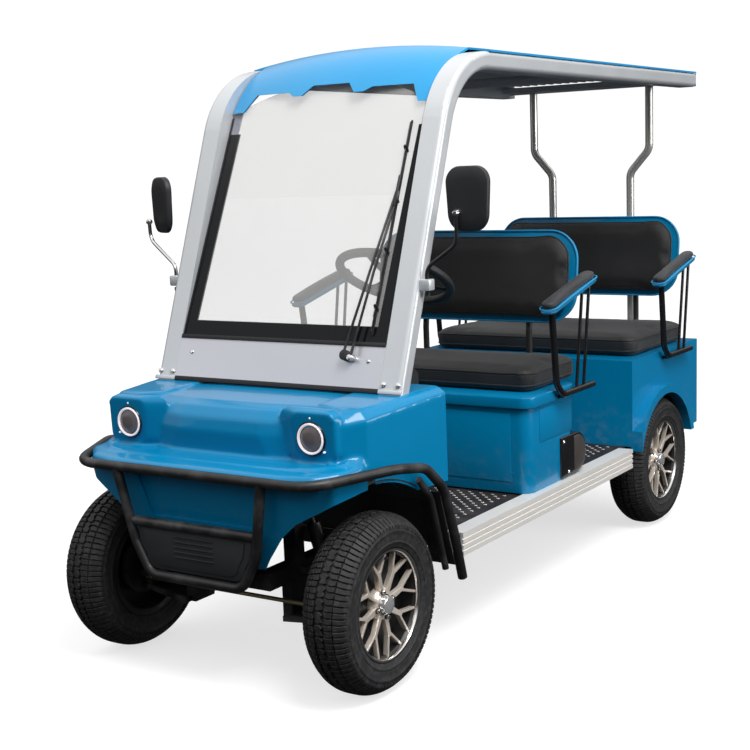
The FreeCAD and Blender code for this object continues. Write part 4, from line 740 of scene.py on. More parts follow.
def screw_mesh(radius, height):
    """A low domed screw head with a cross cut in it."""
    rings = [[(x * size, y * size, height * rise) for x, y in circle(radius, 16)]
             for size, rise in ((1.0, 0.0), (0.96, 0.45), (0.7, 0.85), (0.36, 1.0))]
    cut = [0.35 if i % 4 else 0.95 for i in range(16)]
    dip = [(x * share, y * share, height * 0.55) for (x, y, z), share in zip(rings[-1], cut)]
    return skin("screw", rings + [dip])


def fasteners(name, mesh, places):
    """Bright screws or bolts at (place, way) pairs."""
    pattern = link(f"{name}_pattern", mesh)
    marks = mesh_of(f"{name}_marks", [place for place, way in places], [])
    ways = marks.attributes.new("facing", "FLOAT_VECTOR", "POINT")
    for mark, (place, way) in zip(ways.data, places):
        mark.vector = Vector(way).normalized()
    made = repeated(marks, MARKS, Piece=pattern, Material=CHROME)
    bpy.data.objects.remove(pattern)
    piece(name, made, CHROME)


STITCH_WIDTH = 0.0016
STITCH_LENGTH = 0.0055


def stitches(name, path, step, finish):
    """A row of thread stitches that follows a closed path."""
    half = Vector((STITCH_WIDTH, STITCH_WIDTH, STITCH_LENGTH)) / 2
    pattern = link(f"{name}_thread", softened(block(-half, half), STITCH_WIDTH * 0.3, 1))
    line = bpy.data.meshes.new(f"{name}_line")
    count = len(path)
    line.from_pydata([tuple(point) for point in path], [(i, (i + 1) % count) for i in range(count)], [])
    made = repeated(line, LINE, Piece=pattern, Step=step, Material=finish)
    bpy.data.objects.remove(pattern)
    piece(name, made, finish)


# Mouldings: solids joined, softened and hollowed into one skin
def moulding(name, solids, voxel, cutters, opened, wall):
    """Closed forms that overlap become one soft-edged skin, cut, and opened where the test says."""
    made = link(name, joined(name, solids))
    modifier(made, "REMESH", mode="VOXEL", voxel_size=voxel, adaptivity=0.0)
    modifier(made, "SMOOTH", factor=0.5, iterations=4)
    applied(made)
    for cutter in cutters:
        tool = link("cutter", cutter)
        modifier(made, "BOOLEAN", operation="DIFFERENCE", solver="EXACT", object=tool)
        applied(made)
        bpy.data.objects.remove(tool)
    work = bmesh.new()
    work.from_mesh(made.data)
    gone = [face for face in work.faces if opened(face.calc_center_median(), face.normal)]
    bmesh.ops.delete(work, geom=gone, context="FACES")
    work.to_mesh(made.data)
    work.free()
    modifier(made, "SOLIDIFY", thickness=wall, offset=-1.0, use_quality_normals=True)
    return applied(made)


# Wheels
TREAD_PITCHES = 46
TREAD_DEPTH = 0.0065
CROWN_FLAT = 0.014
CROWN_CURVE = 8.4
WHEEL_TURN = {"front": 0.21, "rear": 0.0}


def crown(x):
    """The radius of the tread's top at a distance from the middle."""
    past = max(0.0, abs(x) - CROWN_FLAT)
    return WHEEL_RADIUS - 0.0006 - CROWN_CURVE * past ** 2


def tread_block(outline):
    """One rubber block from its outline of (x, angle) corners, its top on the tyre's crown."""
    middle_x = sum(x for x, angle in outline) / len(outline)
    middle_a = sum(angle for x, angle in outline) / len(outline)
    rings = []
    for drop, shrink in ((TREAD_DEPTH + 0.003, 0.0), (0.0012, 0.0), (0.0, 0.0011)):
        ring = []
        for x, angle in outline:
            x += shrink * (1 if x < middle_x else -1)
            angle += shrink / WHEEL_RADIUS * (1 if angle < middle_a else -1)
            radius = crown(x) - drop
            ring.append((x, radius * math.sin(angle), radius * math.cos(angle)))
        rings.append(ring)
    return skin("tread", rings)


def tread_pitch():
    """The blocks of one pitch of an all-terrain tread: shoulder lugs, slanted blocks and a zigzag middle."""
    pitch = math.tau / TREAD_PITCHES
    half = [
        [(44, -0.46), (60, -0.49), (75, -0.45), (75, -0.09), (60, -0.11), (43, -0.07)],
        [(43, 0.04), (60, 0.01), (75, 0.05), (75, 0.43), (60, 0.40), (44, 0.45)],
        [(17, -0.44), (29, -0.50), (40, -0.42), (40, -0.03), (29, -0.08), (20, 0.0)],
        [(19, 0.10), (29, 0.03), (40, 0.07), (40, 0.46), (28, 0.42), (16, 0.47)],
    ]
    shapes = half + [[(-x, angle + 0.25) for x, angle in reversed(shape)] for shape in half]
    shapes.append([(-12, -0.40), (1, -0.48), (12, -0.38), (8, -0.04), (13, 0.22), (3, 0.44), (-9, 0.40),
                   (-13, 0.12), (-7, -0.12)])
    blocks = [tread_block([(x / 1000, angle * pitch) for x, angle in shape]) for shape in shapes]
    return joined("pitch", blocks)


def side_lug():
    """A low rib on the tyre's shoulder, seen from the side."""
    feet = ((0.222, -0.028, 0.0), (0.238, -0.034, 0.0052), (0.238, 0.034, 0.0052), (0.222, 0.028, 0.0))
    lug = skin("lug", [[(x - inset, radius * math.sin(angle), radius * math.cos(angle))
                        for radius, angle, inset in feet] for x in (0.0690, 0.0748)])
    return joined("lugs", [lug, mirror_of(lug)])


def tyre_mesh():
    half = [(0.0, 0.2590), (0.030, 0.2552), (0.052, 0.2450), (0.064, 0.2365), (0.0695, 0.2320),
            (0.0722, 0.2260), (0.0736, 0.2200), (0.0746, 0.2190), (0.0748, 0.2150), (0.0738, 0.2135),
            (0.0738, 0.2000), (0.0722, 0.1880), (0.0730, 0.1865), (0.0728, 0.1830), (0.0712, 0.1815),
            (0.0690, 0.1740), (0.0665, 0.1680), (0.0600, 0.1655)]
    profile = [(-x, radius) for x, radius in half] + [(0.0, 0.152)] + list(reversed(half[1:]))
    casing = painted(lathe(profile, 96, closed=True), RUBBER)
    tread = repeated(tread_pitch(), RING, Count=TREAD_PITCHES, Material=RUBBER)
    lugs = repeated(side_lug(), RING, Count=TREAD_PITCHES * 2, Material=RUBBER)
    return joined("tyre", [casing, tread, lugs])


def spoke_mesh():
    """One forked spoke of the alloy, its face dished towards the hub."""
    half = [(0.026, 0.0104), (0.094, 0.0072), (0.1500, 0.0402), (0.1550, 0.0344), (0.1050, 0.0038)]
    spoke = prism([(radius, -side) for radius, side in half] + list(reversed(half)), 0.016)
    work = bmesh.new()
    work.from_mesh(spoke)
    ends = [face for face in work.faces if len(face.verts) > 4]
    bmesh.ops.triangulate(work, faces=ends, ngon_method="BEAUTY")
    for vert in work.verts:
        radius, side, depth = vert.co
        vert.co = (depth + 0.028 + 0.5 * max(0.0, radius - 0.06) ** 1.6, side, radius)
    work.to_mesh(spoke)
    work.free()
    return softened(tidy(spoke), 0.0016, 2, 0.9)


def rim_mesh():
    """A chrome lip, a dark ring, barrel and disc, a hub with its cap, eight spokes and four nuts in wells."""
    turned = (
        (CHROME, 96, [(0.0560, 0.1548), (0.0625, 0.1556), (0.0660, 0.1585), (0.0660, 0.1648),
                      (0.0600, 0.1650), (0.0560, 0.1630)]),
        (ALLOY_DARK, 96, [(0.030, 0.1500), (0.048, 0.1500), (0.0560, 0.1570), (0.0600, 0.1580),
                          (0.0600, 0.1620), (0.030, 0.1620)]),
        (ALLOY_DARK, 96, [(0.042, 0.1500), (-0.060, 0.1432), (-0.066, 0.1560), (-0.066, 0.1650),
                          (-0.060, 0.1650), (-0.058, 0.1530), (0.042, 0.1560)]),
        (ALLOY_DARK, 64, [(0.000, 0.0), (0.000, 0.148), (0.006, 0.148), (0.012, 0.090), (0.020, 0.060),
                          (0.020, 0.0)]),
        (RIM_FACE, 48, [(0.018, 0.0), (0.018, 0.052), (0.036, 0.050), (0.043, 0.044), (0.0445, 0.036),
                        (0.0445, 0.0)]),
        (CAP_METAL, 48, [(0.040, 0.0272), (0.060, 0.0268), (0.0635, 0.0245), (0.0655, 0.0170),
                         (0.0665, 0.0080), (0.0668, 0.0), (0.040, 0.0)]),
        (CHROME, 48, [(0.043, 0.0318), (0.0475, 0.0312), (0.0475, 0.0280), (0.043, 0.0278)]),
    )
    parts = [painted(lathe(profile, sides, True), finish) for finish, sides, profile in turned]
    parts.append(repeated(spoke_mesh(), RING, Count=8, Material=RIM_FACE))
    well = softened(prism(circle(0.0086, 18), 0.003), 0.0008, 1)
    nut = softened(prism(circle(0.0066, 6), 0.010), 0.0012)
    for mesh, x, finish in ((well, 0.0440, ALLOY_DARK), (nut, 0.0450, CHROME)):
        moved(mesh, at(x, 0, 0.0400) @ spun(QUARTER, "Y"))
        parts.append(repeated(mesh, RING, Count=4, Material=finish))
    valve = lathe([(0.0, 0.0), (0.0, 0.004), (0.020, 0.0035), (0.020, 0.0)], 12)
    parts.append(painted(moved(valve, at(0.045, 0.030, 0.136)), SEAL))
    return joined("rim", parts)


def fit_wheels():
    kinds = (("tread", tyre_mesh(), "tyre", "tyre"), ("alloy", rim_mesh(), "wheel_metal", "rim"))
    for end, side in WHEELS:
        low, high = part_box(f"tyre_{end}_{side}")
        place = at(*(low + high) / 2) @ spun(0.0 if side == "left" else math.pi, "Z")
        place = place @ spun(WHEEL_TURN[end], "X")
        for name, mesh, slot, node in kinds:
            whole = moved(mesh.copy(), place)
            replaces = [f"{node}_{end}_{side}"]
            piece(f"{name}_{end}_{side}", whole, None, replaces, 0.6, f"wheel_{end}_{side}")


# The leaning planes of the hoops and of the glass
class Plane:
    """A plane across the cart through a point, leaning back, with places on it given by x and z."""
    def __init__(self, point, lean):
        self.point = Vector(point)
        self.along = Vector((0, math.sin(lean), math.cos(lean)))
        self.out = Vector((0, -math.cos(lean), math.sin(lean)))

    def at(self, x, z, off=0.0):
        place = self.point + self.along * ((z - self.point.z) / self.along.z) + self.out * off
        return Vector((x, place.y, place.z))

    def strip(self, x0, z0, x1, z1, off, thickness):
        """A flat strip on the plane between two heights and two sides."""
        outline = ((x0, z0), (x1, z0), (x1, z1), (x0, z1))
        return skin("strip", [[self.at(x, z, rise) for x, z in outline] for rise in (off, off + thickness)])


GLASS_LEAN = math.radians(24.6)
HOOP_PLANE = Plane((0, -1.01371, 0.829), math.radians(20.7))
GLASS_PLANE = Plane((0, -0.95101, 0.98359), GLASS_LEAN)


def fit_windscreen():
    """The seals round the pane and the two screws of the silver panel."""
    seals = [HOOP_PLANE.strip(-0.399, 0.978, 0.399, 0.990, -0.002, 0.006),
             HOOP_PLANE.strip(-0.399, 0.846, 0.399, 0.8595, -0.004, 0.006),
             GLASS_PLANE.strip(0.3935, 0.99, 0.3985, 1.685, -0.005, 0.009),
             GLASS_PLANE.strip(-0.3985, 0.99, -0.3935, 1.685, -0.005, 0.009)]
    piece("windscreen_seals", softened(joined("seals", seals), 0.0015), SEAL)
    places = [(HOOP_PLANE.at(x, 0.935, 0.0005), HOOP_PLANE.out) for x in (0.345, -0.345)]
    fasteners("panel_screws", screw_mesh(0.0062, 0.0032), places)


def fit_wiper():
    """A long blade on the driver's side of the pane, on a two-rod arm."""
    parts = []

    def rod(finish, section, *points):
        parts.append(painted(sweep(points, section), finish))
    bottom = GLASS_PLANE.at(0.342, 1.008, 0.004)
    top = GLASS_PLANE.at(0.330, 1.641, 0.004)
    hinge = GLASS_PLANE.at(0.337, 1.424, 0.016)
    blade = [(-0.002, -0.0035), (0.002, -0.0035), (0.0035, 0.002), (0, 0.004), (-0.0035, 0.002)]
    rod(SEAL, blade, bottom, top)
    spine = [GLASS_PLANE.at(0.342, 1.016, 0.0105), GLASS_PLANE.at(0.330, 1.633, 0.0105)]
    rod(BLACK_STEEL, circle(0.0042, 8, 0.6), *spine)
    for share in (0.12, 0.38, 0.62, 0.86):
        clip = block((-0.0055, -0.012, -0.002), (0.0055, 0.012, 0.006))
        place = at(*bottom.lerp(top, share) + GLASS_PLANE.out * 0.006) @ spun(GLASS_LEAN - QUARTER, "X")
        parts.append(painted(moved(clip, place), BLACK_PLASTIC))
    for x in (-0.008, 0.010):
        start = HOOP_PLANE.at(0.278 + x * 1.6, 0.950, 0.022)
        middle = start.lerp(hinge, 0.5) + GLASS_PLANE.out * 0.004
        rod(BLACK_STEEL, circle(0.0042, 10), start, middle, hinge + Vector((x * 0.5, 0, 0)))
    reach = GLASS_PLANE.along * 0.05
    rod(BLACK_PLASTIC, circle(0.0078, 10, 0.8), hinge - reach, hinge + reach)
    for finish, radius, sides, x, z, top_off in ((BLACK_PLASTIC, 0.016, 20, 0.268, 0.947, 0.024),
                                                 (CHROME, 0.009, 14, 0.290, 0.940, 0.026)):
        rod(finish, circle(radius, sides), HOOP_PLANE.at(x, z, 0.002), HOOP_PLANE.at(x, z, top_off))
    piece("wiper_arm", softened(joined("wiper_arm", parts), 0.0008), None, ["wiper"])


# Nose: the bonnet, side panels, lamp pods and ledge in one lacquered skin
LAMP_X = 0.347
LAMP_Z = 0.759
LAMP_Y = -1.2785
ARCH_RADIUS = 0.352
ARCH_INNER_X = 0.364
AXLE_Y = -1.180
AXLE_Z = 0.266
BULKHEAD_Y = -0.995


def both_sides(centres):
    return centres + [(-x, *rest) for x, *rest in centres]


def fit_nose():
    """Bonnet, flat side panels under a bevel, raised lamp pods and the ledge over the bumper, in one skin."""
    bonnet = ball_hull(both_sides([
        (0.150, -1.196, 0.752, 0.080), (0.300, -1.168, 0.752, 0.078), (0.400, -1.130, 0.745, 0.075),
        (0.300, -1.180, 0.480, 0.082), (0.250, -0.800, 0.793, 0.055), (0.430, -0.800, 0.785, 0.055)]))
    side = hull([
        (0.487, -1.204, 0.450), (0.486, -1.198, 0.806), (0.530, -0.820, 0.450), (0.530, -0.820, 0.832),
        (0.460, -1.192, 0.836), (0.500, -0.820, 0.851), (0.300, -1.170, 0.838), (0.300, -0.820, 0.852),
        (0.438, -1.258, 0.450), (0.438, -1.254, 0.798), (0.418, -1.230, 0.830), (0.300, -1.214, 0.450)])
    face = round_rect(0.160, 0.142, 0.030, 6)
    front = [(0.352 + x + (0.010 if x < 0 else 0.0), -1.2795 - 0.05 * (z - 0.01), 0.766 + z) for x, z in face]
    back = [(0.338 + x * (1.62 if x < 0 else 1.20), -1.244, 0.764 + z * 1.12) for x, z in face]
    pod = hull(front + back)
    ledge = ball_hull(both_sides([
        (0.0, -1.387, 0.6525, 0.0195), (0.320, -1.387, 0.6525, 0.0195), (0.405, -1.366, 0.656, 0.0195),
        (0.458, -1.312, 0.662, 0.0195), (0.468, -1.232, 0.666, 0.0195), (0.462, -1.150, 0.666, 0.0195)]))
    course = [(0.0, -1.338, 0.670), (0.300, -1.338, 0.672), (0.385, -1.322, 0.677), (0.444, -1.270, 0.682),
              (0.470, -1.222, 0.686)]
    ridges = [ball_hull([(*start, 0.0125), (*end, 0.0125)]) for start, end in zip(course, course[1:])]
    arch = lathe([(0.0, 0.0), (0.0, ARCH_RADIUS), (0.4, ARCH_RADIUS), (0.4, 0.0)], 128)
    moved(arch, at(ARCH_INNER_X, AXLE_Y, AXLE_Z))
    behind = block((-0.7, -0.838, 0.2), (0.7, -0.4, 1.2))
    low_front = block((-0.7, -1.6, 0.30), (0.7, -1.175, 0.645))
    side_room = block((-0.7, -1.178, 0.30), (0.7, -0.5, 0.560))
    middle_room = block((-0.44, -1.178, 0.30), (0.44, -0.5, 0.645))
    foot_room = block((-0.3925, -0.9905, 0.60), (0.3925, -0.60, 0.99))

    def opened(middle, normal):
        """The underside, the back, the sides of the foot room and the insides of the arches."""
        below = normal.z < -0.9 and middle.z < 0.652
        rear = normal.y > 0.9 and middle.y > BULKHEAD_Y
        room = abs(normal.x) > 0.9 and abs(middle.x) < 0.40 and middle.y > BULKHEAD_Y
        along = Vector((0, middle.y - AXLE_Y, middle.z - AXLE_Z))
        inwards = normal.dot(along) / max(along.length, 0.001) < -0.9
        arch_top = abs(along.length - ARCH_RADIUS) < 0.003 and inwards
        arch_side = abs(abs(middle.x) - ARCH_INNER_X) < 0.002 and abs(normal.x) > 0.9
        return below or rear or room or arch_top or arch_side
    solids = [bonnet, side, mirror_of(side), pod, mirror_of(pod), ledge, *ridges, *map(mirror_of, ridges)]
    cutters = [behind, low_front, side_room, middle_room, arch, mirror_of(arch), foot_room]
    made = moulding("nose_skin", solids, 0.007, cutters, opened, 0.0035)
    dress(made, PAINT, ["front_body"], 0.9)


def fit_wheel_house():
    """The black toe board and the lining over the front wheels, with a rubber flap behind each wheel."""
    line = ((0.472, -0.879, 0.3715), (0.474, -0.902, 0.455), (0.490, -0.952, 0.612), (0.494, -0.985, 0.640),
            (0.470, -1.205, 0.6445))
    corners = [(sign * half, y, z) for half, y, z in line for sign in (-1, 1)]
    faces = [(2 * i, 2 * i + 1, 2 * i + 3, 2 * i + 2) for i in range(len(line) - 1)]
    sheet = link("wheel_house_lining", mesh_of("sheet", corners, faces))
    modifier(sheet, "SOLIDIFY", thickness=0.003, offset=0.0)
    dress(applied(sheet), BLACK_PLASTIC)
    for name, sign in BOTH_SIDES:
        x0, x1 = sorted((sign * 0.466, sign * 0.552))
        flap = skin("flap", [[(x0, y, z), (x1, y, z), (x1, y + 0.004, z), (x0, y + 0.004, z)]
                             for y, z in ((-0.852, 0.300), (-0.886, 0.400), (-0.929, 0.545))])
        piece(f"mud_flap_{name}", softened(flap, 0.001, 1), SEAL)


def fit_lamps():
    """A round lamp in each pod: a bright ring round a domed lens, a clear cover and two dot lamps."""
    turned = (
        (GLOSS_BLACK, 64, False, [(-0.022, 0.0), (-0.022, 0.0500), (0.0035, 0.0500), (0.0055, 0.0485),
                                  (0.0055, 0.0465), (0.002, 0.0460), (0.0, 0.0)]),
        (LAMP_RING, 64, True, [(0.000, 0.0455), (0.0055, 0.0450), (0.0080, 0.0438), (0.0080, 0.0408),
                               (0.0055, 0.0390), (0.000, 0.0385)]),
        (LAMP_EYE, 48, False, [(0.000, 0.0345), (0.0035, 0.0340), (0.0050, 0.0310), (0.0075, 0.0250),
                               (0.0095, 0.0160), (0.0105, 0.0), (0.0, 0.0)]),
    )
    cover = [(0.0125, 0.0), (0.0115, 0.020), (0.0095, 0.036), (0.0085, 0.0460), (0.0075, 0.0460),
             (0.0085, 0.036), (0.0105, 0.020)]
    dot = [(-0.01, 0.0), (-0.01, 0.0035), (0.003, 0.003), (0.0045, 0.0)]
    face = spun(-QUARTER, "Z")
    for name, sign in BOTH_SIDES:
        place = at(sign * LAMP_X, LAMP_Y, LAMP_Z) @ face
        parts = [painted(moved(lathe(profile, sides, closed), place), finish)
                 for finish, sides, closed, profile in turned]
        for x, z in ((0.000, 0.0590), (0.0440, -0.0360)):
            spot = at(sign * (LAMP_X + x), LAMP_Y - 0.0005, LAMP_Z + z) @ face
            parts.append(painted(moved(lathe(dot, 16), spot), LAMP_RING))
        replaces = ["headlights"] if sign > 0 else ()
        piece(f"lamp_{name}", joined("lamp", parts), None, replaces)
        piece(f"lamp_cover_{name}", moved(lathe(cover, 64), place), LAMP_LENS)


def fit_valance():
    """The tapering panel under the ledge, with a framed field in its middle and a curved cut each side."""
    outer = hull(both_sides([
        (0.503, -1.220, 0.652), (0.503, -1.260, 0.652), (0.462, -1.345, 0.652), (0.300, -1.389, 0.652),
        (0.460, -1.220, 0.372), (0.460, -1.255, 0.372), (0.420, -1.318, 0.372), (0.270, -1.351, 0.372)]))
    cut = [(0.200, 0.30), (0.700, 0.30), (0.700, 0.700), (0.538, 0.646), (0.490, 0.608), (0.418, 0.568),
           (0.340, 0.528), (0.292, 0.484), (0.236, 0.411), (0.205, 0.360)]
    wing = moved(prism(cut, 0.6), at(0, -1.0, 0) @ spun(QUARTER, "X"))
    field = hull(both_sides([(0.232, -1.50, 0.640), (0.232, -1.3775, 0.640), (0.192, -1.50, 0.500),
                             (0.192, -1.3605, 0.500)]))
    behind = block((-0.7, -1.2135, 0.2), (0.7, -0.9, 0.9))

    def opened(middle, normal):
        """The back, the top, the underside and the curved cuts."""
        back = normal.y > 0.9 and middle.y > -1.25
        top = normal.z > 0.9 and middle.z > 0.645
        under = normal.z < -0.9 and middle.z < 0.38
        return back or top or under or (abs(middle.x) > 0.20 and normal.z < -0.5)
    made = moulding("front_apron", [outer], 0.008, [behind, field, wing, mirror_of(wing)], opened, 0.003)
    dress(made, PAINT, ["front_valance"], 0.9)


BAR_RADIUS = 0.015
BAR_FRONT_Z = 0.655
GUARD_Y = -1.408
GUARD_LOW_Z = 0.330


def fit_bumper():
    """The bar round the nose, a thin tube beside each of its legs, and the guard under its middle."""
    half = [(0.556, -0.815, 0.250), (0.556, -0.858, 0.400), (0.556, -0.912, 0.555), (0.556, -1.010, 0.638),
            (0.555, -1.165, 0.666), (0.436, -1.424, BAR_FRONT_Z)]
    route = rounded_path(half + [(-x, y, z) for x, y, z in reversed(half)], 0.130, 10)
    bar = softened(sweep(route, circle(BAR_RADIUS, 20)), 0.002, 2, 1.0)
    piece("bumper_tube", bar, BLACK_STEEL, ["bumper_bar"])
    for name, sign in BOTH_SIDES:
        x = sign * 0.530
        leg = rounded_path([(x, -1.010, 0.600), (x, -0.946, 0.530), (x, -0.872, 0.292)], 0.080)
        piece(f"arch_tube_{name}", sweep(leg, circle(0.0105, 16)), BLACK_STEEL)
    half = [(0.272, -1.424, BAR_FRONT_Z - 0.007), (0.230, GUARD_Y, 0.430), (0.176, GUARD_Y, GUARD_LOW_Z)]
    routes = [rounded_path(half + [(-x, y, z) for x, y, z in reversed(half)], 0.060),
              [(-0.241, GUARD_Y, 0.490), (0.241, GUARD_Y, 0.490)]]
    routes += [[(x, GUARD_Y, GUARD_LOW_Z), (x, -1.335, GUARD_LOW_Z)] for x in (0.120, -0.120)]
    guard = joined("guard", [sweep(route, circle(BAR_RADIUS, 20)) for route in routes])
    piece("guard_tubes", guard, BLACK_STEEL, ["guard_frame"])


# Seats
CLOTH_TICKS = 20


def stuffed(name, form, voxel, cap, pressure=4.0, smoothing=3, flat_below=None):
    """A pad blown up as cloth from a slightly small form, then smoothed and divided once."""
    made = link(name, form)
    modifier(made, "REMESH", mode="VOXEL", voxel_size=voxel, adaptivity=0.0)
    modifier(made, "SMOOTH", factor=0.5, iterations=3)
    applied(made)
    count = len(made.data.vertices)
    start = np.empty(count * 3)
    made.data.vertices.foreach_get("co", start)
    start = start.reshape(-1, 3)
    cloth = modifier(made, "CLOTH")
    settings = {"quality": 4, "mass": 0.25, "tension_stiffness": 12.0, "compression_stiffness": 12.0,
                "shear_stiffness": 6.0, "bending_stiffness": 0.6, "use_pressure": True,
                "uniform_pressure_force": pressure}
    for key, value in settings.items():
        setattr(cloth.settings, key, value)
    cloth.settings.effector_weights.gravity = 0.0
    cloth.collision_settings.use_collision = False
    cloth.point_cache.frame_start = 1
    cloth.point_cache.frame_end = CLOTH_TICKS
    for tick in range(1, CLOTH_TICKS + 1):
        SCENE.frame_set(tick)
    graph = bpy.context.evaluated_depsgraph_get()
    blown = made.evaluated_get(graph).data
    end = np.empty(count * 3)
    blown.vertices.foreach_get("co", end)
    shift = end.reshape(-1, 3) - start
    reach = np.linalg.norm(shift, axis=1, keepdims=True)
    end = start + shift * np.minimum(1.0, cap / np.maximum(reach, 1e-9))
    made.modifiers.clear()
    SCENE.frame_set(1)
    if flat_below is not None:
        end[:, 2] = np.maximum(end[:, 2], flat_below)
    made.data.vertices.foreach_set("co", end.reshape(-1))
    made.data.update()
    modifier(made, "SMOOTH", factor=0.5, iterations=smoothing)
    modifier(made, "SUBSURF", levels=1, render_levels=1)
    return applied(made)


def surface_of(made):
    return BVHTree.FromPolygons([vert.co.copy() for vert in made.data.vertices],
                                [tuple(polygon.vertices) for polygon in made.data.polygons])


def hugging(path, surface, lift):
    """The path drawn onto a surface and lifted off it."""
    drawn = []
    for point in path:
        place, normal, index, distance = surface.find_nearest(Vector(point))
        drawn.append(place + normal * lift)
    return drawn


def evenly(outline, step):
    """Points at even steps round a closed outline."""
    points = [Vector(point) for point in outline]
    sides = list(zip(points, points[1:] + points[:1]))
    lengths = [(b - a).length for a, b in sides]
    total = sum(lengths)
    count = max(8, int(total / step))
    spaced = []
    index, walked = 0, 0.0
    for i in range(count):
        target = total * i / count
        while walked + lengths[index] < target:
            walked += lengths[index]
            index += 1
        a, b = sides[index]
        spaced.append(a.lerp(b, (target - walked) / max(lengths[index], 1e-9)))
    return spaced


def cord(name, path, radius, finish):
    """A sewn cord round a closed path."""
    piece(name, sweep(path, circle(radius, 8), loop=True), finish)


def fit_cushion(row):
    """A box cushion with a welt round its upper and lower edges and a row of stitches."""
    low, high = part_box(f"{row}_cushion")
    middle = (low + high) / 2
    size = high - low
    form = prism(round_rect(size.x - 0.024, size.y - 0.024, 0.052, 6), size.z - 0.022)
    form = softened(moved(form, at(middle.x, middle.y, low.z + 0.003)), 0.020, 3, 1.0)
    made = stuffed(f"{row}_seat_pad", form, 0.0085, 0.014, flat_below=low.z + 0.0012)
    surface = surface_of(made)
    for label, rise in (("top", size.z - 0.020), ("low", 0.016)):
        edge = round_rect(size.x - 0.004, size.y - 0.004, 0.058, 10)
        ring = [Vector((middle.x + x, middle.y + y, low.z + rise)) for x, y in edge]
        path = hugging(evenly(ring, 0.012), surface, 0.0006)
        cord(f"{row}_seat_welt_{label}", path, 0.0032, SEAT_VINYL)
        if label == "top":
            thread = hugging([point - UP * 0.008 for point in path], surface, 0.0004)
            stitches(f"{row}_seat_stitches", thread, 0.009, PAD_VINYL)
    dress(made, SEAT_VINYL, [f"{row}_cushion"], 3.0)


BACK_LEAN = math.radians(7)
BACK_FOOT_Z = 0.912
BACK_WIDTH = 0.872
BACK_HEIGHT = 0.346
BACK_WALL = 0.066
PAD_WALL = 0.050


def fit_back(row):
    """A padded back with round corners, on a blue shell that shows as a line all round."""
    low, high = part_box(f"{row}_back")
    stand = at(0, low.y, BACK_FOOT_Z) @ spun(-BACK_LEAN, "X") @ at(0, 0, BACK_HEIGHT / 2) @ spun(QUARTER, "X")
    form = prism(round_rect(BACK_WIDTH - 0.022, BACK_HEIGHT - 0.022, 0.104, 10), PAD_WALL - 0.018)
    form = softened(moved(form, stand @ at(0, 0, -PAD_WALL + 0.004)), 0.017, 3, 1.0)
    made = stuffed(f"{row}_back_pad", form, 0.0085, 0.013)
    surface = surface_of(made)

    def ring(depth, grow):
        outline = round_rect(BACK_WIDTH + grow, BACK_HEIGHT + grow, 0.112, 12)
        return evenly([stand @ Vector((x, y, -depth)) for x, y in outline], 0.012)
    cord(f"{row}_back_welt", hugging(ring(0.014, -0.006), surface, 0.0005), 0.003, SEAT_VINYL)
    stitches(f"{row}_back_stitches", hugging(ring(0.004, -0.040), surface, 0.0003), 0.009, PAD_VINYL)
    shell = prism(round_rect(BACK_WIDTH - 0.004, BACK_HEIGHT - 0.004, 0.110, 12), 0.018)
    shell = softened(moved(shell, stand @ at(0, 0, -BACK_WALL + 0.0005)), 0.007, 3, 1.0)
    piece(f"{row}_back_shell", shell, PAINT)
    cord(f"{row}_back_piping", ring(BACK_WALL - 0.020, -0.004), 0.0038, TRIM_BLUE)
    dress(made, SEAT_VINYL, [f"{row}_back"], 3.0)


ARM_LENGTH = 0.372
ARM_RISE = 0.088
ARM_WIDTH = 0.062
FRONT_ARM_X = 0.532


def fit_armrest(row, name, x, front_y, low_z, replaces):
    """One arm: a padded top, a blue shell under it and a light blue cord where they meet."""
    length = math.hypot(ARM_LENGTH, ARM_RISE)
    seat = at(x, front_y, low_z) @ spun(math.atan2(ARM_RISE, ARM_LENGTH), "X")

    def ring(width, reach, corner, depth):
        return [seat @ Vector((px, length / 2 + py, depth)) for px, py in round_rect(width, reach, corner)]
    form = prism(round_rect(ARM_WIDTH - 0.008, length - 0.012, 0.026, 6), 0.024)
    form = softened(moved(form, seat @ at(0, length / 2, 0.019)), 0.010, 3, 1.0)
    pad = stuffed(f"{row}_arm_pad_{name}", form, 0.005, 0.007, 5.0, 2)
    rings = [ring(ARM_WIDTH * share, length * (0.8 + 0.2 * share), 0.028 * share, depth)
             for share, depth in ((1.0, 0.0185), (0.97, 0.008), (0.86, 0.0015), (0.60, -0.001))]
    shell = link(f"{row}_arm_shell_{name}", skin("arm_shell", rings))
    modifier(shell, "SUBSURF", levels=1, render_levels=1)
    dress(applied(shell), TRIM_BLUE)
    edge = evenly(ring(ARM_WIDTH + 0.001, length, 0.028, 0.020), 0.008)
    cord(f"{row}_arm_cord_{name}", edge, 0.0030, TRIM_BLUE)
    seam = evenly(ring(ARM_WIDTH - 0.012, length - 0.02, 0.024, 0.036), 0.01)
    stitches(f"{row}_arm_stitches_{name}", hugging(seam, surface_of(pad), 0.0003), 0.008, SEAT_VINYL)
    dress(pad, PAD_VINYL, replaces, 3.0)


def fit_armrests():
    low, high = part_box("armrest_pads")
    rear_x = high.x - ARM_WIDTH / 2
    for row, x, front_y in (("front", FRONT_ARM_X, low.y), ("rear", rear_x, high.y - ARM_LENGTH)):
        for name, sign in BOTH_SIDES:
            replaces = ["armrest_pads"] if (row, name) == ("front", "left") else ()
            fit_armrest(row, name, sign * x, front_y, low.z, replaces)


# Mirrors
CLAMP_Z = 1.156


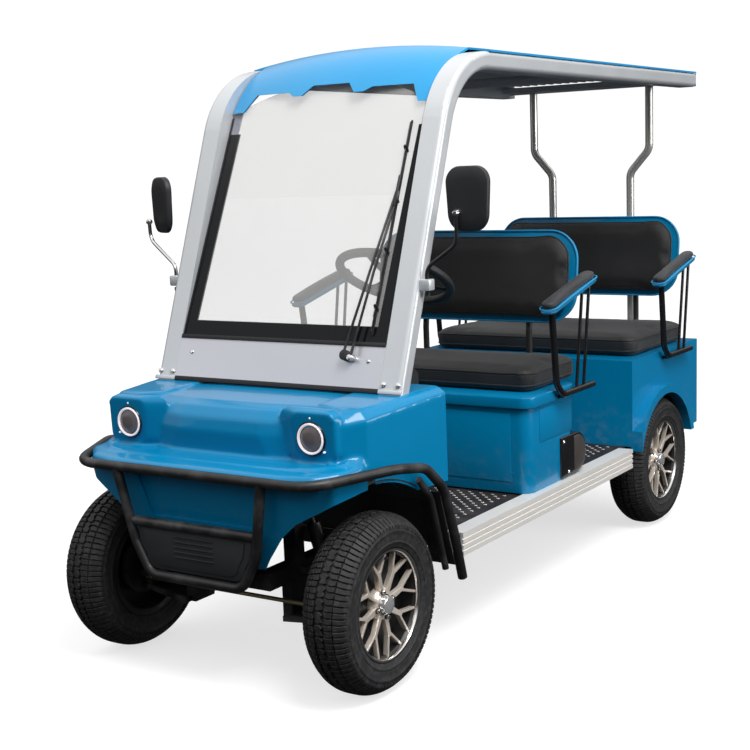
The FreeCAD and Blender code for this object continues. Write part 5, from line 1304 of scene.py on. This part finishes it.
def fit_mirror(name, sign, head, turn, ball, reach, stalk_finish):
    """A black head with its pane, on a ball and a thin bent stalk from a clamp on the hoop."""
    head = Vector(head)
    outline = round_rect(0.148, 0.188, 0.048, 8, 0.86)
    steps = ((0.97, 0.012), (1.0, 0.008), (1.0, 0.0), (0.97, -0.007), (0.85, -0.0115), (0.60, -0.013),
             (0.2, -0.0135))
    rings = [[(x * share, depth, y * share) for x, y in outline] for share, depth in steps]
    swing = at(*head) @ spun(math.radians(turn), "Z")
    shell = painted(moved(skin("shell", rings), swing), BLACK_PLASTIC)
    pane = prism(round_rect(0.134, 0.172, 0.042, 8, 0.86), 0.0014)
    pane = painted(moved(pane, swing @ at(0, 0.0136, 0) @ spun(QUARTER, "X")), MIRROR)
    foot = HOOP_PLANE.at(sign * 0.492, CLAMP_Z, -0.029)
    foot.z = CLAMP_Z
    ball = head + Vector(ball)
    path = rounded_path([foot, foot + UP * 0.05, ball + Vector((0, 0.002, -reach)), ball], 0.05)
    stalk = painted(sweep(path, circle(0.0062, 12)), stalk_finish)
    knob = lathe([(-0.011, 0.0), (-0.009, 0.007), (0.0, 0.0115), (0.009, 0.007), (0.011, 0.0)], 20)
    knob = painted(moved(knob, at(*ball) @ spun(QUARTER, "Z")), CHROME)
    half = Vector((0.017, 0.017, 0.017))
    clamp = painted(softened(block(foot - half, foot + half), 0.004), SILVER)
    end = painted(sweep([foot - UP * 0.022, foot - UP * 0.034], circle(0.0085, 14)), BLACK_PLASTIC)
    whole = joined("mirror", [shell, pane, stalk, knob, clamp, end])
    piece(f"mirror_head_{name}", whole, None, [f"mirror_{name}"])


# Cabin
GRIP_RADIUS = 0.185


def fit_steering_wheel():
    """A grip with finger ridges, three flat arms and a domed boss."""
    seat = at(0.200, -0.585, 1.150) @ spun(-math.radians(30), "X")
    path = [(x, y, 0.0) for x, y in circle(GRIP_RADIUS, 72)]
    radii = [0.0148 - (0.0012 if k % 6 == 0 else 0.0) for k in range(24)]
    section = [(radius * x, radius * y) for radius, (x, y) in zip(radii, circle(1.0, 24))]
    parts = [painted(sweep(path, section, loop=True), BLACK_PLASTIC)]
    for index in range(3):
        arm = sweep([(0.02, 0, -0.006), (0.10, 0, -0.008), (0.180, 0, 0.0)], circle(0.020, 14, 0.28),
                    scale=lambda share: 1.0 - 0.35 * share)
        parts.append(painted(moved(arm, spun(math.radians(30 + 120 * index), "Z")), BLACK_PLASTIC))
    dome = [(-0.022, 0.0), (-0.022, 0.038), (0.000, 0.044), (0.010, 0.040), (0.015, 0.028), (0.017, 0.0)]
    boss = moved(lathe(dome, 40), spun(-QUARTER, "Y"))
    parts.append(painted(boss, GLOSS_BLACK))
    piece("steering_grip", moved(joined("steering", parts), seat), None, ["steering_wheel"],
          body="steering_wheel")


MAT_PITCH = 0.046
MAT_END_Y = 0.638


def fit_floor():
    """Bright studs on the dark mat, in two grids that make a diamond pattern, and low ridges between them."""
    low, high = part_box("floor_pan")
    start = low.y + 0.03
    columns = int((high.x - low.x - 0.03) / MAT_PITCH)
    rows = int((MAT_END_Y - start) / MAT_PITCH)

    def laid(mesh, fewer_columns, fewer_rows, rise, finish):
        across, along = columns - fewer_columns, rows - fewer_rows
        grid = repeated(mesh, GRID, Width=(across - 1) * MAT_PITCH, Length=(along - 1) * MAT_PITCH,
                        Columns=across, Rows=along, Material=finish)
        return moved(grid, at(0, (start + MAT_END_Y) / 2, high.z - rise))
    stud = softened(prism(round_rect(0.0125, 0.0055, 0.0026, 2), 0.0028), 0.0007, 1)
    studs = joined("mat_studs", [laid(stud.copy(), fewer, fewer, 0.0004, STUD) for fewer in (0, 1)])
    ridge = softened(prism(round_rect(0.030, 0.018, 0.004, 2), 0.0016), 0.0005, 1)
    ridges = laid(ridge, 1, 0, 0.0003, MAT)
    boxes = [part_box(node) for node in ("front_seat_box", "battery_pack", "side_box", "pedals")]
    work = bmesh.new()
    work.from_mesh(studs)
    covered = [vert for vert in work.verts
               if any(a.x - 0.012 < vert.co.x < b.x + 0.012 and a.y - 0.012 < vert.co.y < b.y + 0.012
                      for a, b in boxes)]
    bmesh.ops.delete(work, geom=covered, context="VERTS")
    work.to_mesh(studs)
    work.free()
    piece("mat_studs", studs, None)
    piece("mat_ridges", ridges, MAT)


SEAT_BOX_HALF = 0.500
SEAT_BOX_FRONT = -0.245
SEAT_BOX_TOP = 0.711


def fit_seat_box():
    """The blue box under the front seat: round corners, a rolled rim and a raised field on each side."""
    low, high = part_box("front_seat_box")
    depth = high.y - SEAT_BOX_FRONT
    middle_y = (SEAT_BOX_FRONT + high.y) / 2
    body = prism(round_rect(2 * SEAT_BOX_HALF, depth, 0.045), SEAT_BOX_TOP - low.z)
    rim = prism(round_rect(2 * SEAT_BOX_HALF + 0.028, depth + 0.014, 0.050), 0.040)
    parts = [softened(moved(body, at(0, middle_y, low.z)), 0.003, 2, 1.0),
             softened(moved(rim, at(0, middle_y - 0.007, 0.675)), 0.006, 3, 1.0)]
    near, far = SEAT_BOX_FRONT - 0.003, SEAT_BOX_FRONT + 0.004
    fields = (
        ((-0.43, near, 0.415), (0.43, far, 0.655), 0.0025, 2),
        ((-0.44, near + 0.001, 0.444), (0.44, far - 0.001, 0.448), 0.001, 1),
        ((SEAT_BOX_HALF - 0.004, -0.165, 0.545), (SEAT_BOX_HALF + 0.003, 0.090, 0.660), 0.0025, 2),
        ((-SEAT_BOX_HALF - 0.003, -0.165, 0.41), (-SEAT_BOX_HALF + 0.004, 0.090, 0.660), 0.0025, 2),
    )
    parts += [softened(block(a, b), width, segments, 0.8) for a, b, width, segments in fields]
    piece("seat_box_skin", joined("seat_box", parts), PAINT, ["front_seat_box"], 0.5)


def fit_side_box():
    """The black housing beside the seat box, with one round end, a brown cap, a flange and two screws; the
    cap's lighter brown is painted light, for the lit outward face of the black housing.
    """
    low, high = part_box("side_box")
    height = high.z - low.z
    middle_y = high.y - height / 2
    middle_z = low.z + height / 2

    def rounded_end(start_y, radius, flat_z):
        """An outline with a half circle at its rear end."""
        angles = [math.pi * step / 16 - QUARTER for step in range(17)]
        arc = [(middle_y + radius * math.cos(angle), middle_z + radius * math.sin(angle)) for angle in angles]
        return [(start_y, middle_z - flat_z), *arc, (start_y, middle_z + flat_z)]
    radius = height / 2 - 0.006
    housing = prism(rounded_end(low.y + 0.004, radius, height / 2 - 0.004), high.x - low.x - 0.006)
    housing = softened(moved(housing, sideways(low.x + 0.002)), 0.006, 3, 0.8)
    # The cap's lighter brown paints the light on the housing's outward face.
    cap = prism(rounded_end(middle_y - 0.030, radius - 0.010, radius - 0.010), 0.006)
    cap = softened(moved(cap, sideways(high.x - 0.007)), 0.0035, 3, 0.8)
    flange = block((low.x + 0.001, low.y + 0.002, high.z - 0.010), (high.x - 0.030, low.y + 0.060, high.z))
    flange = softened(flange, 0.002)
    parts = [painted(housing, GLOSS_BLACK), painted(cap, LIT_FACE_BROWN), painted(flange, GLOSS_BLACK)]
    piece("side_housing", joined("side_housing", parts), None, ["side_box"], 0.5)
    spots = ((low.y + 0.022, high.z - 0.022), (low.y + 0.060, low.z + 0.022))
    places = [((high.x - 0.005, y, z), (1, 0, 0)) for y, z in spots]
    fasteners("side_housing_screws", screw_mesh(0.0066, 0.0040), places)


GUARD_PLATE_Y = -1.404


def fit_guard_plate():
    """The plate inside the guard: round lower corners, a raised edge and five long ribs."""
    outline = [(-0.218, 0.478), (-0.210, 0.425)]
    for step in range(7):
        angle = math.pi + QUARTER * step / 6
        outline.append((-0.146 + 0.042 * math.cos(angle), 0.392 + 0.042 * math.sin(angle)))
    outline += [(-x, z) for x, z in reversed(outline)]
    stand = at(0, GUARD_PLATE_Y, 0) @ spun(QUARTER, "X")
    plate = softened(moved(prism(outline, 0.006), stand), 0.002, 2, 0.8)
    field = prism([(x * 0.88, 0.470 + (z - 0.478) * 0.84) for x, z in outline], 0.0035)
    field = softened(moved(field, at(0, -0.0055, 0) @ stand), 0.0015, 2, 0.8)
    rib = softened(prism(round_rect(0.150, 0.0035, 0.0017, 3), 0.0030), 0.0010, 2, 0.8)
    ribs = repeated(rib, GRID, Width=0.0, Length=0.062, Columns=1, Rows=5, Material=GUARD_PLASTIC)
    moved(ribs, at(0, GUARD_PLATE_Y - 0.0088, 0.428) @ spun(QUARTER, "X"))
    whole = joined("guard_panel", [plate, field, ribs])
    piece("guard_panel", whole, GUARD_PLASTIC, ["guard_plate"], 0.5)


LINING_Z = 1.846


def fit_roof():
    """A ribbed lining under the roof, and a black cap on the rear end of each rail."""
    rib = softened(block((-0.006, -0.86, 0.0), (0.006, 0.86, 0.005)), 0.002)
    ribs = repeated(rib, GRID, Width=0.72, Length=0.0, Columns=19, Rows=1, Material=LINER)
    board = block((-0.396, -0.31, LINING_Z + 0.004), (0.396, 1.42, LINING_Z + 0.009))
    lining = joined("lining", [moved(ribs, at(0, 0.56, LINING_Z)), board])
    piece("roof_lining_ribs", lining, LINER)
    for name, sign in BOTH_SIDES:
        x = sign * 0.4375
        cap = block((x - 0.0365, 1.4278, 1.797), (x + 0.0365, 1.434, 1.851))
        piece(f"rail_cap_{name}", softened(cap, 0.004, 3), BLACK_PLASTIC)


COIL_TURNS = 7
COIL_STEPS = 126


def fit_springs():
    """Coils round the front shocks."""
    for name, sign in BOTH_SIDES:
        foot = Vector((sign * 0.328, -1.1407, 0.197))
        head = Vector((sign * 0.221, -1.1407, 0.514))
        axis = (head - foot).normalized()
        side = axis.cross(Vector((0, 1, 0))).normalized()
        other = axis.cross(side)
        path = []
        for i in range(COIL_STEPS + 1):
            angle = math.tau * COIL_TURNS * i / COIL_STEPS
            middle = foot.lerp(head, 0.30 + 0.55 * i / COIL_STEPS)
            path.append(middle + (side * math.cos(angle) + other * math.sin(angle)) * 0.0185)
        piece(f"front_coil_{name}", sweep(path, circle(0.0048, 8)), BLACK_STEEL)


def carry_over():
    """The CAD nodes that keep their own shape get these finishes, and the rest stay black."""
    shared = (
        (FRAME_STEEL, "chassis_frame nose_frame rear_axle drive_motor knuckle_left knuckle_right"),
        (BLACK_STEEL, "pedals seat_back_posts rear_springs front_suspension tow_plate"),
        (SILVER, "roof_hoop_left roof_hoop_right roof_crossbars"),
        (GLOSS_BLACK, "front_armrest_frames rear_armrest_frames"),
        (SILL_METAL, "sill_left sill_right"),
        (UPRIGHT_STEEL, "rear_uprights"),
        (PANEL_SILVER, "windscreen_panel"),
        (GLASS, "windscreen_glass"),
        # The roof panel gets the lighter lacquer with its painted highlight.
        (LIT_ROOF_PAINT, "roof_panel"),
        (PAINT, "rear_body"),
        (TAIL_RED, "tail_lamps"),
        (ZINC, "track_rod"),
        (MAT, "floor_pan"),
    )
    finishes = {node: finish for finish, nodes in shared for node in nodes.split()}
    for node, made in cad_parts.items():
        made.data.materials.clear()
        made.data.materials.append(finishes.get(node, BLACK_PLASTIC))


def fit_hoop_feet():
    """Two bolts and a foot plate under each hoop."""
    places = [(HOOP_PLANE.at(x, 0.872, 0.0004), HOOP_PLANE.out) for x in (0.412, 0.463, -0.412, -0.463)]
    fasteners("hoop_foot_bolts", bolt_mesh(0.0062, 0.0065), places)
    plates = [HOOP_PLANE.strip(x, 0.846, x + 0.082, 0.858, 0.0, 0.006) for x in (0.398, -0.480)]
    piece("hoop_foot_plates", softened(joined("plates", plates), 0.0015), SILVER)


FLOOR_HALF = 60.0


def studio():
    """A white floor that runs to the horizon, a bright sky over a dark band, and three soft lamps."""
    corners = [(x * FLOOR_HALF, y * FLOOR_HALF, 0) for x, y in ((-1, -1), (1, -1), (1, 1), (-1, 1))]
    floor = link("studio_floor", mesh_of("studio_floor", corners, [(0, 1, 2, 3)]))
    made = Finish("studio_floor_paint", Roughness=0.9, Specular_IOR_Level=0.0, Emission_Strength=0.68,
                  Emission_Color=rgb(1, 1, 1))
    made.feed("Base Color", made.colour(made.cloud(0.3, 2.0), rgb(0.42, 0.42, 0.42), rgb(0.43, 0.43, 0.43)))
    floor.data.materials.append(made.material)
    floor.visible_glossy = False
    floor.visible_diffuse = False
    world = bpy.data.worlds.new("studio")
    world.use_nodes = True
    SCENE.world = world
    graph = Graph(world.node_tree)
    world.node_tree.nodes.clear()
    place = graph.node("ShaderNodeTexCoord").outputs["Generated"]
    rise = Value(graph, graph.node("ShaderNodeSeparateXYZ", None, {0: place}).outputs[2])
    dusk, noon, white = rgb(0.05, 0.052, 0.055), rgb(1.10, 1.10, 1.10), rgb(1.03, 1.03, 1.03)
    mix = {"data_type": "RGBA"}
    sky = graph.out("ShaderNodeMix", mix, {0: rise.step(0.16, 0.62), 6: dusk, 7: noon}, port=2)
    seen = graph.node("ShaderNodeLightPath").outputs["Is Camera Ray"]
    shown = graph.out("ShaderNodeMix", mix, {0: seen, 6: sky, 7: white}, port=2)
    back = graph.node("ShaderNodeBackground", None, {"Color": shown, "Strength": 1.0})
    graph.node("ShaderNodeOutputWorld", None, {"Surface": back.outputs[0]})
    soft_lamp("key", (3.0, -2.2, 5.4), (0, -0.4, 0.8), 2.2, 2.2, 250)
    soft_lamp("side", (6.2, 1.6, 2.0), (0, 0.2, 0.7), 4.4, 1.6, 150)
    soft_lamp("low", (-5.0, -4.5, 2.2), (0, -0.5, 0.7), 3.0, 2.0, 12)
    SCENE.view_settings.view_transform = "Standard"


set_camera()
studio()
carry_over()
fit_wheels()
fit_windscreen()
fit_wiper()
fit_nose()
fit_lamps()
fit_valance()
fit_bumper()
fit_wheel_house()
for row in ("front", "rear"):
    fit_cushion(row)
    fit_back(row)
fit_armrests()
fit_mirror("left", 1, (0.622, -0.835, 1.405), 0, (-0.030, -0.020, -0.040), 0.09, BLACK_STEEL)
fit_mirror("right", -1, (-0.594, -0.800, 1.405), -27, (-0.045, -0.018, -0.055), 0.06, CHROME)
fit_steering_wheel()
fit_floor()
fit_seat_box()
fit_side_box()
fit_guard_plate()
fit_roof()
fit_springs()
fit_hoop_feet()
